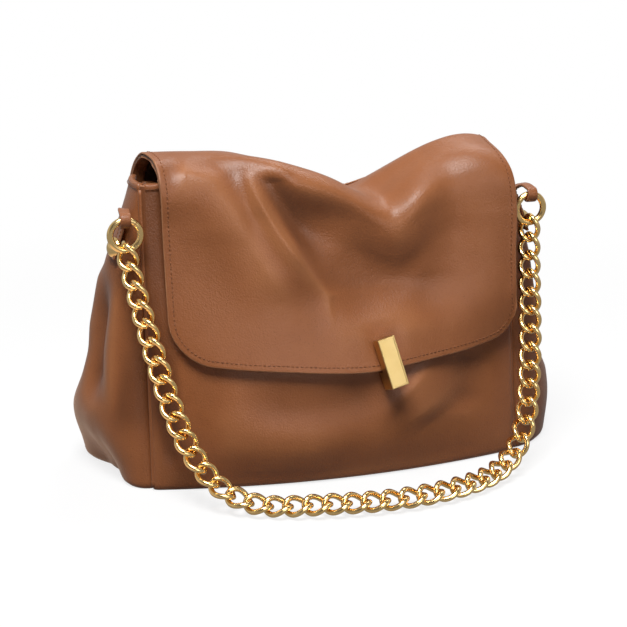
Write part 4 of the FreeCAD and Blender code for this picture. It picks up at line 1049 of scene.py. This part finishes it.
def flapGrid(cols, rows):
    left, right, gap = flapShape["left"], flapShape["right"], flapShape["edgeGap"]
    centre, half = (left + right) / 2, (right - left) / 2
    share = np.linspace(0, 1, rows)
    wideLeft = left + (flapShape["backLeft"] - left) * (1 - ease(share / flapShape["backTaper"]))
    wideRight = tableOf(flapShape["rightEdge"], share)
    columns = []
    for s in crowdedEnds(cols, flapShape["evenShare"]):
        x = min(max(centre + half * s, left + gap), right - gap)
        across = (wideLeft + wideRight) / 2 + (wideRight - wideLeft) / 2 * (x - centre) / half
        columns.append(np.column_stack([across, smoothPath(flapProfile(x), rows)]))
    return np.stack(columns, axis=1)


outFlap = (0, -0.5, 0.5)
points = flapGrid(flapShape["cols"], flapShape["rows"])
normal = gridNormals(points, outFlap)
x, z = points[..., 0], points[..., 2]
down = z - points[..., 1]
run = np.linspace(0, 1, flapShape["rows"])[:, None] * np.ones_like(x)
field = (foldField(x, z, flapFolds) - hollowDepth(x, z)) * easeOver(run, flapRelief["start"])
for rise, pitch, seed in flapRelief["waves"]:
    field = field + rise * softWaves(x, down, pitch, seed)
sideGap = np.minimum(x - x[:, :1], x[:, -1:] - x)
edgeShare = flapRelief["edgeShare"]
field = field * (edgeShare + (1 - edgeShare) * ease(sideGap / flapRelief["edgeCalm"]))
field = field * ease((1 - run) / flapRelief["hemCalm"] + flapRelief["hemShare"])
# flat seat under the clasp
seatAcross = ((x - flapRelief["seatX"]) / flapRelief["seatWide"]) ** flapRelief["seatPower"]
seatUp = ((z - flapRelief["seatZ"]) / flapRelief["seatTall"]) ** flapRelief["seatPower"]
field = field * (1 - flapRelief["seatShare"] * np.exp(-seatAcross - seatUp))
field = field * ease(run / flapRelief["backCalm"])
points = points + normal * field[..., None]
normal = gridNormals(points, outFlap)
place = np.stack([x, run * flapRelief["length"]], axis=-1)
shade = foldShadeAndHighlight(field, flapRelief["shadeReach"])

piece = sheetFromGrid("flapLeather", points, normal, flapShape["leather"], edgedLeather, place, shade, 5)
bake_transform(piece)
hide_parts("flap_crown", "flap_face")
under = points - normal * (flapShape["leather"] + flapShape["liningGap"])
coarse = slice(None, None, 2), slice(None, None, 2)
piece = sheetFromGrid(
    "flapLining", under[coarse], normal[coarse], flapShape["lining"], [lining], place[coarse], None, 3)
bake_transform(piece)
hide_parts("crown_lining", "face_lining")

# Leather facing inside the flap's edge, over the lining
facing = {"width": 9.0, "thickness": 1.0, "hemRows": 7, "gap": 0.4}
inside = points - normal * (flapShape["leather"] + flapShape["lining"] + facing["gap"])
middleRow = x[flapShape["rows"] // 2]
leftCut = int(np.searchsorted(middleRow - middleRow[0], facing["width"]))
rightCut = int(np.searchsorted(middleRow, middleRow[-1] - facing["width"]))
bands = {
    "flapFacingLeft": (slice(None), slice(0, leftCut)),
    "flapFacingRight": (slice(None), slice(rightCut, None)),
    "flapFacingHem": (slice(-facing["hemRows"], None), slice(leftCut, rightCut)),
}
for name, band in bands.items():
    piece = sheetFromGrid(name, inside[band], normal[band], facing["thickness"], edgedLeather, place[band])
    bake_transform(piece)

# Thread along the flap's sides and hem, a little in from the edge
flapStitch = {"pitch": 3.1, "length": 2.2, "radius": 0.38, "inset": 3.4, "step": 1.0}
edgeLoop = np.concatenate([points[:, 0], points[-1, 1:-1], points[::-1, -1]])
edgeNormal = np.concatenate([normal[:, 0], normal[-1, 1:-1], normal[::-1, -1]])
tangent = unit(np.gradient(edgeLoop, axis=0))
inward = unit(np.cross(edgeNormal, tangent))
flat, flatNormal = points.reshape(-1, 3), normal.reshape(-1, 3)
if np.sum((flat.mean(axis=0) - edgeLoop) * inward) < 0:
    inward = -inward
rowPath, rowNormal = [], []
for spot in evenPath(edgeLoop + inward * flapStitch["inset"], flapStitch["step"]):
    k = np.argmin(np.sum((flat - spot) ** 2, axis=1))
    rowPath.append(spot - flatNormal[k] * np.dot(spot - flat[k], flatNormal[k]))
    rowNormal.append(flatNormal[k])
piece = addParts("flapThread", stitchParts(np.array(rowPath), np.array(rowNormal), flapStitch), thread)
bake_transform(piece)

# Hinge strip over the back fold, sewn to the back panel and to the flap
stripLook = {
    "low": 164.0, "flapRows": 14, "left": -128.0, "right": 129.0, "steps": 120, "smooth": 4,
    "lift": 1.3, "thickness": 1.2, "threadRow": 2, "stitch": {"pitch": 3.2, "length": 2.4, "radius": 0.3},
}
columnAt = np.linspace(stripLook["left"], stripLook["right"], stripLook["steps"])
backRows = [row for row in skins["back"][0] if row[0, 2] > stripLook["low"]]
flapRows = [row[np.argsort(row[:, 0])] for row in points[1:stripLook["flapRows"]]]
strip = np.stack([pickAlong(row, row[:, 0], columnAt) for row in backRows[::-1] + flapRows])
for k in range(stripLook["smooth"]):
    strip[1:-1] = (strip[:-2] + 2 * strip[1:-1] + strip[2:]) / 4
stripNormal = gridNormals(strip, outwardOf["back"])
strip = strip + stripNormal * stripLook["lift"]
piece = sheetFromGrid("hingeStrip", strip, stripNormal, stripLook["thickness"], edgedLeather)
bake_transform(piece)
rows = []
for k in (stripLook["threadRow"], len(strip) - 1 - stripLook["threadRow"]):
    rows += stitchParts(strip[k], stripNormal[k], stripLook["stitch"])
piece = addParts("hingeThread", rows, thread)
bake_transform(piece)
print("flap made")

# Strap tabs: a tail on the gusset, a twist outward and a loop round the ring wire
tabLook = {
    "width": 11.0, "thickness": 2.0, "sides": 20, "corner": 5.0, "steps": 110,
    "tailY": -11.0, "tailOut": 1.75, "tail": (154.5, 160, 166, 172, 178),
    "twist": (((138.2, -13.0, 184.5), (0.35, 0.9, 0.2)),  # places, and the way the width points there
              ((140.3, -18.5, 188.2), (0.8, 0.6, 0.1)),
              ((141.2, -25.5, 189.5), (0.97, 0.2, 0.0))),
    "ringX": 141.5, "ringY": -32.0, "ringTop": 184.5, "loop": 4.4, "loopTurns": range(80, 360, 30),
    "wayWeight": 4, "taper": 0.36, "taperFrom": (0.2, 0.3), "edgeShare": 0.47,
    "threadIn": 1.4, "threadRows": slice(2, 88), "tailSteps": 30,
    "stitch": {"pitch": 2.6, "length": 1.9, "radius": 0.27},
}
section = roundSection(tabLook["width"], tabLook["thickness"], tabLook["sides"], tabLook["corner"])
onEdge = np.abs(section[:, 0]) > tabLook["edgeShare"] * tabLook["width"]
taper = 1 - tabLook["taper"] * easeOver(np.linspace(0, 1, tabLook["steps"]), tabLook["taperFrom"])
for wall, toward in (("left", -1), ("right", 1)):
    mirror = np.array([toward, 1, 1])
    path, across = [], []
    for z in tabLook["tail"]:
        level = z / walls["height"]
        middle = float((backEdge(level) + frontEdge(level)) / 2)
        path.append(wallPoint(wall, level, tabLook["tailY"] - middle, tabLook["tailOut"]))
        across.append((0, 1, 0))
    for spot, way in tabLook["twist"]:
        path.append(mirror * spot)
        across.append(mirror * way)
    for turn in tabLook["loopTurns"]:
        y = tabLook["ringY"] + tabLook["loop"] * math.cos(math.radians(turn))
        z = tabLook["ringTop"] + tabLook["loop"] * math.sin(math.radians(turn))
        path.append(np.array([toward * tabLook["ringX"], y, z]))
        across.append((toward, 0, 0))
    guide = np.column_stack([np.array(path), np.array(across, float) * tabLook["wayWeight"]])
    guide = smoothPath(guide, tabLook["steps"])
    path, across = guide[:, :3], guide[:, 3:]
    verts, faces = sweepSection(path, across, section, taper)
    sides = len(section)
    kinds = [1 if len(f) == 4 and onEdge[f[0] % sides] and onEdge[f[1] % sides] else 0 for f in faces]
    piece = addMesh(wall + "TabLeather", verts, faces, edgedLeather, kinds)
    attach(piece, "bag")
    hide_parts(wall + "_tab")
    tangent = unit(np.gradient(path, axis=0))
    widthWay = unit(across - tangent * np.sum(across * tangent, axis=1, keepdims=True))
    faceWay = np.cross(tangent, widthWay)
    if np.sum(faceWay[:tabLook["tailSteps"], 0]) * toward < 0:
        faceWay = -faceWay
    rows = []
    for side in (-1, 1):
        reach = side * (tabLook["width"] * taper / 2 - tabLook["threadIn"])
        row = path + widthWay * reach[:, None] + faceWay * tabLook["thickness"] / 2
        rows += stitchParts(row[tabLook["threadRows"]], faceWay[tabLook["threadRows"]], tabLook["stitch"])
    piece = addParts(wall + "TabThread", rows, thread)
    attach(piece, "bag")
print("tabs made")

# Metal and inner pieces keep their solids and take these finishes
finishOf = {
    gold: ("left_ring", "right_ring", "left_end_link", "left_chain_run", "floor_chain_run", "right_chain_run",
           "right_end_link", "left_tab_stud", "right_tab_stud"),
    satinGold: ("clasp_bar", "clasp_inlay", "clasp_back_plate", "keeper_case", "keeper_rivets"),
    plainSteel: ("left_stud_washer", "right_stud_washer", "keeper_washer", "clasp_screws"),
    magnetSkin: ("clasp_magnet", "keeper_magnet"),
    fibreBoard: ("base_board",),
}
for finish, names in finishOf.items():
    for name in names:
        slots = nodes[name].data.materials
        if len(slots) == 0:
            slots.append(finish)
        for k in range(len(slots)):
            slots[k] = finish
print("finishes set")


# Floor, light and camera
def plainGrey(level):
    return level, level, level, 1


# One where the camera, metal or glass looks, and zero for light that bounces
def lookedAt(tree, seen):
    looks = mathNode(tree, "ADD", seen["Is Camera Ray"], seen["Is Glossy Ray"])
    return mathNode(tree, "MINIMUM", mathNode(tree, "ADD", looks, seen["Is Transmission Ray"]), 1.0)


def mixShaders(tree, share, first, second):
    return addNode(tree, "ShaderNodeMixShader", {0: share, 1: first, 2: second})[0]


# The camera sees a white floor that keeps the shadow; little of it bounces up, and metal sees it darker
floorLook = {
    "half": 7.0, "drop": 0.0004, "rough": 0.9, "shine": 0.1, "pale": plainGrey(0.9), "white": plainGrey(1),
    "bounce": (0.24, 0.21, 0.19, 1), "mirror": plainGrey(0.36), "leftMirror": (1.2, 0.92, 0.72, 1),
    "left": (-0.135, -0.165), "near": (0.4, 0.24), "shadow": (0.3, 0.75), "shadowGlow": 0.8,
}
floorMesh = bpy.data.meshes.new("studioFloor")
corners = [(x * floorLook["half"], y * floorLook["half"], 0) for x, y in ((-1, -1), (1, -1), (1, 1), (-1, 1))]
floorMesh.from_pydata(corners, [], [(0, 1, 2, 3)])
floor = bpy.data.objects.new("studioFloor", floorMesh)
floor.location.z = -floorLook["drop"]
scene.collection.objects.link(floor)
material, tree, shader = newMaterial("paleFloor")
seen = addNode(tree, "ShaderNodeLightPath", {})
ground = addNode(tree, "ShaderNodeTexCoord", {})["Object"]
across = addNode(tree, "ShaderNodeSeparateXYZ", {0: ground})[0]
away = vectorValue(tree, "LENGTH", ground)
base = mixColor(tree, seen["Is Camera Ray"], floorLook["bounce"], floorLook["pale"])
feed(tree, shader, {
    "Base Color": base, "Roughness": floorLook["rough"], "Specular IOR Level": floorLook["shine"],
})
# the floor close by the left gusset is paler in reflections
beside = smoothRange(tree, across, *floorLook["left"])
beside = mathNode(tree, "MULTIPLY", beside, smoothRange(tree, away, *floorLook["near"]))
mirror = mixColor(tree, beside, floorLook["mirror"], floorLook["leftMirror"])
colour = mixColor(tree, seen["Is Camera Ray"], mirror, floorLook["white"])
glow = addNode(tree, "ShaderNodeEmission", {"Color": colour})[0]
far = smoothRange(tree, away, *floorLook["shadow"], floorLook["shadowGlow"])
share = mathNode(tree, "MULTIPLY", lookedAt(tree, seen), far)
surface = mixShaders(tree, share, shader.outputs[0], glow)
feed(tree, tree.nodes["Material Output"], {"Surface": surface})
floorMesh.materials.append(material)

# The camera sees white; metal and leather see a pale room, dimmer in front and above, with soft panels in it
roomLook = {
    "ambient": 0.035, "white": plainGrey(1), "pale": plainGrey(0.55), "dim": (0.14, 0.14, 0.15, 1),
    "front": -0.75, "up": 0.6, "dimFrom": (0.15, 0.75),
    "panels": (((0.355, -0.85, 0.384), 1.0, (0.86, 0.98)),  # direction, light, cosines of its edge and core
               ((0.03, -0.92, 0.39), 3.0, (0.955, 0.98)),
               ((0.2, -0.93, 0.3), 6.0, (0.984, 0.994))),
}
world = scene.world or bpy.data.worlds.new("studioWorld")
scene.world = world
world.use_nodes = True
tree = world.node_tree
tree.nodes.clear()
seen = addNode(tree, "ShaderNodeLightPath", {})
way = addNode(tree, "ShaderNodeTexCoord", {})["Generated"]
split = addNode(tree, "ShaderNodeSeparateXYZ", {0: way})
front = mathNode(tree, "MULTIPLY", split[1], roomLook["front"])
up = mathNode(tree, "MULTIPLY", split[2], roomLook["up"])
dim = smoothRange(tree, mathNode(tree, "ADD", front, up), *roomLook["dimFrom"])
room = mixColor(tree, dim, roomLook["pale"], roomLook["dim"])
for toward, light, edge in roomLook["panels"]:
    panel = smoothRange(tree, vectorValue(tree, "DOT_PRODUCT", way, toward), *edge)
    room = mixColor(tree, panel, room, plainGrey(light))
colour = mixColor(tree, seen["Is Camera Ray"], room, roomLook["white"])
backdrop = addNode(tree, "ShaderNodeBackground", {"Color": colour, "Strength": 1.0})[0]
plain = {"Color": roomLook["white"], "Strength": roomLook["ambient"]}
plain = addNode(tree, "ShaderNodeBackground", plain)[0]
surface = mixShaders(tree, lookedAt(tree, seen), plain, backdrop)
feed(tree, tree.nodes.new("ShaderNodeOutputWorld"), {"Surface": surface})


def placeAndAim(item, place, aim):
    item.location = place
    item.rotation_euler = (Vector(aim) - Vector(place)).to_track_quat("-Z", "Y").to_euler()
    scene.collection.objects.link(item)


lampLook = {
    "keyLamp": {"place": (-0.4, -0.78, 1.9), "aim": (0, 0, 0.1), "size": (1.0, 0.8), "power": 49.0},
    "backLamp": {"place": (0.5, 0.5, 1.35), "aim": (0, 0, 0.15), "size": (0.8, 0.5), "power": 6.5},
}
for name, look in lampLook.items():
    lamp = bpy.data.lights.new(name, "AREA")
    lamp.shape = "RECTANGLE"
    lamp.size, lamp.size_y = look["size"]
    lamp.energy = look["power"]
    placeAndAim(bpy.data.objects.new(name, lamp), look["place"], look["aim"])

cameraLook = {
    "place": (-0.26905, -0.93789, 0.40723), "aim": (-0.0123, -0.022, 0.1075), "lens": 82.92, "sensor": 36.0,
}
lens = bpy.data.cameras.new("photoCamera")
lens.lens = cameraLook["lens"]
lens.sensor_width = cameraLook["sensor"]
camera = bpy.data.objects.new("photoCamera", lens)
placeAndAim(camera, cameraLook["place"], cameraLook["aim"])
scene.camera = camera
scene.view_settings.view_transform = "Standard"
print("studio set")
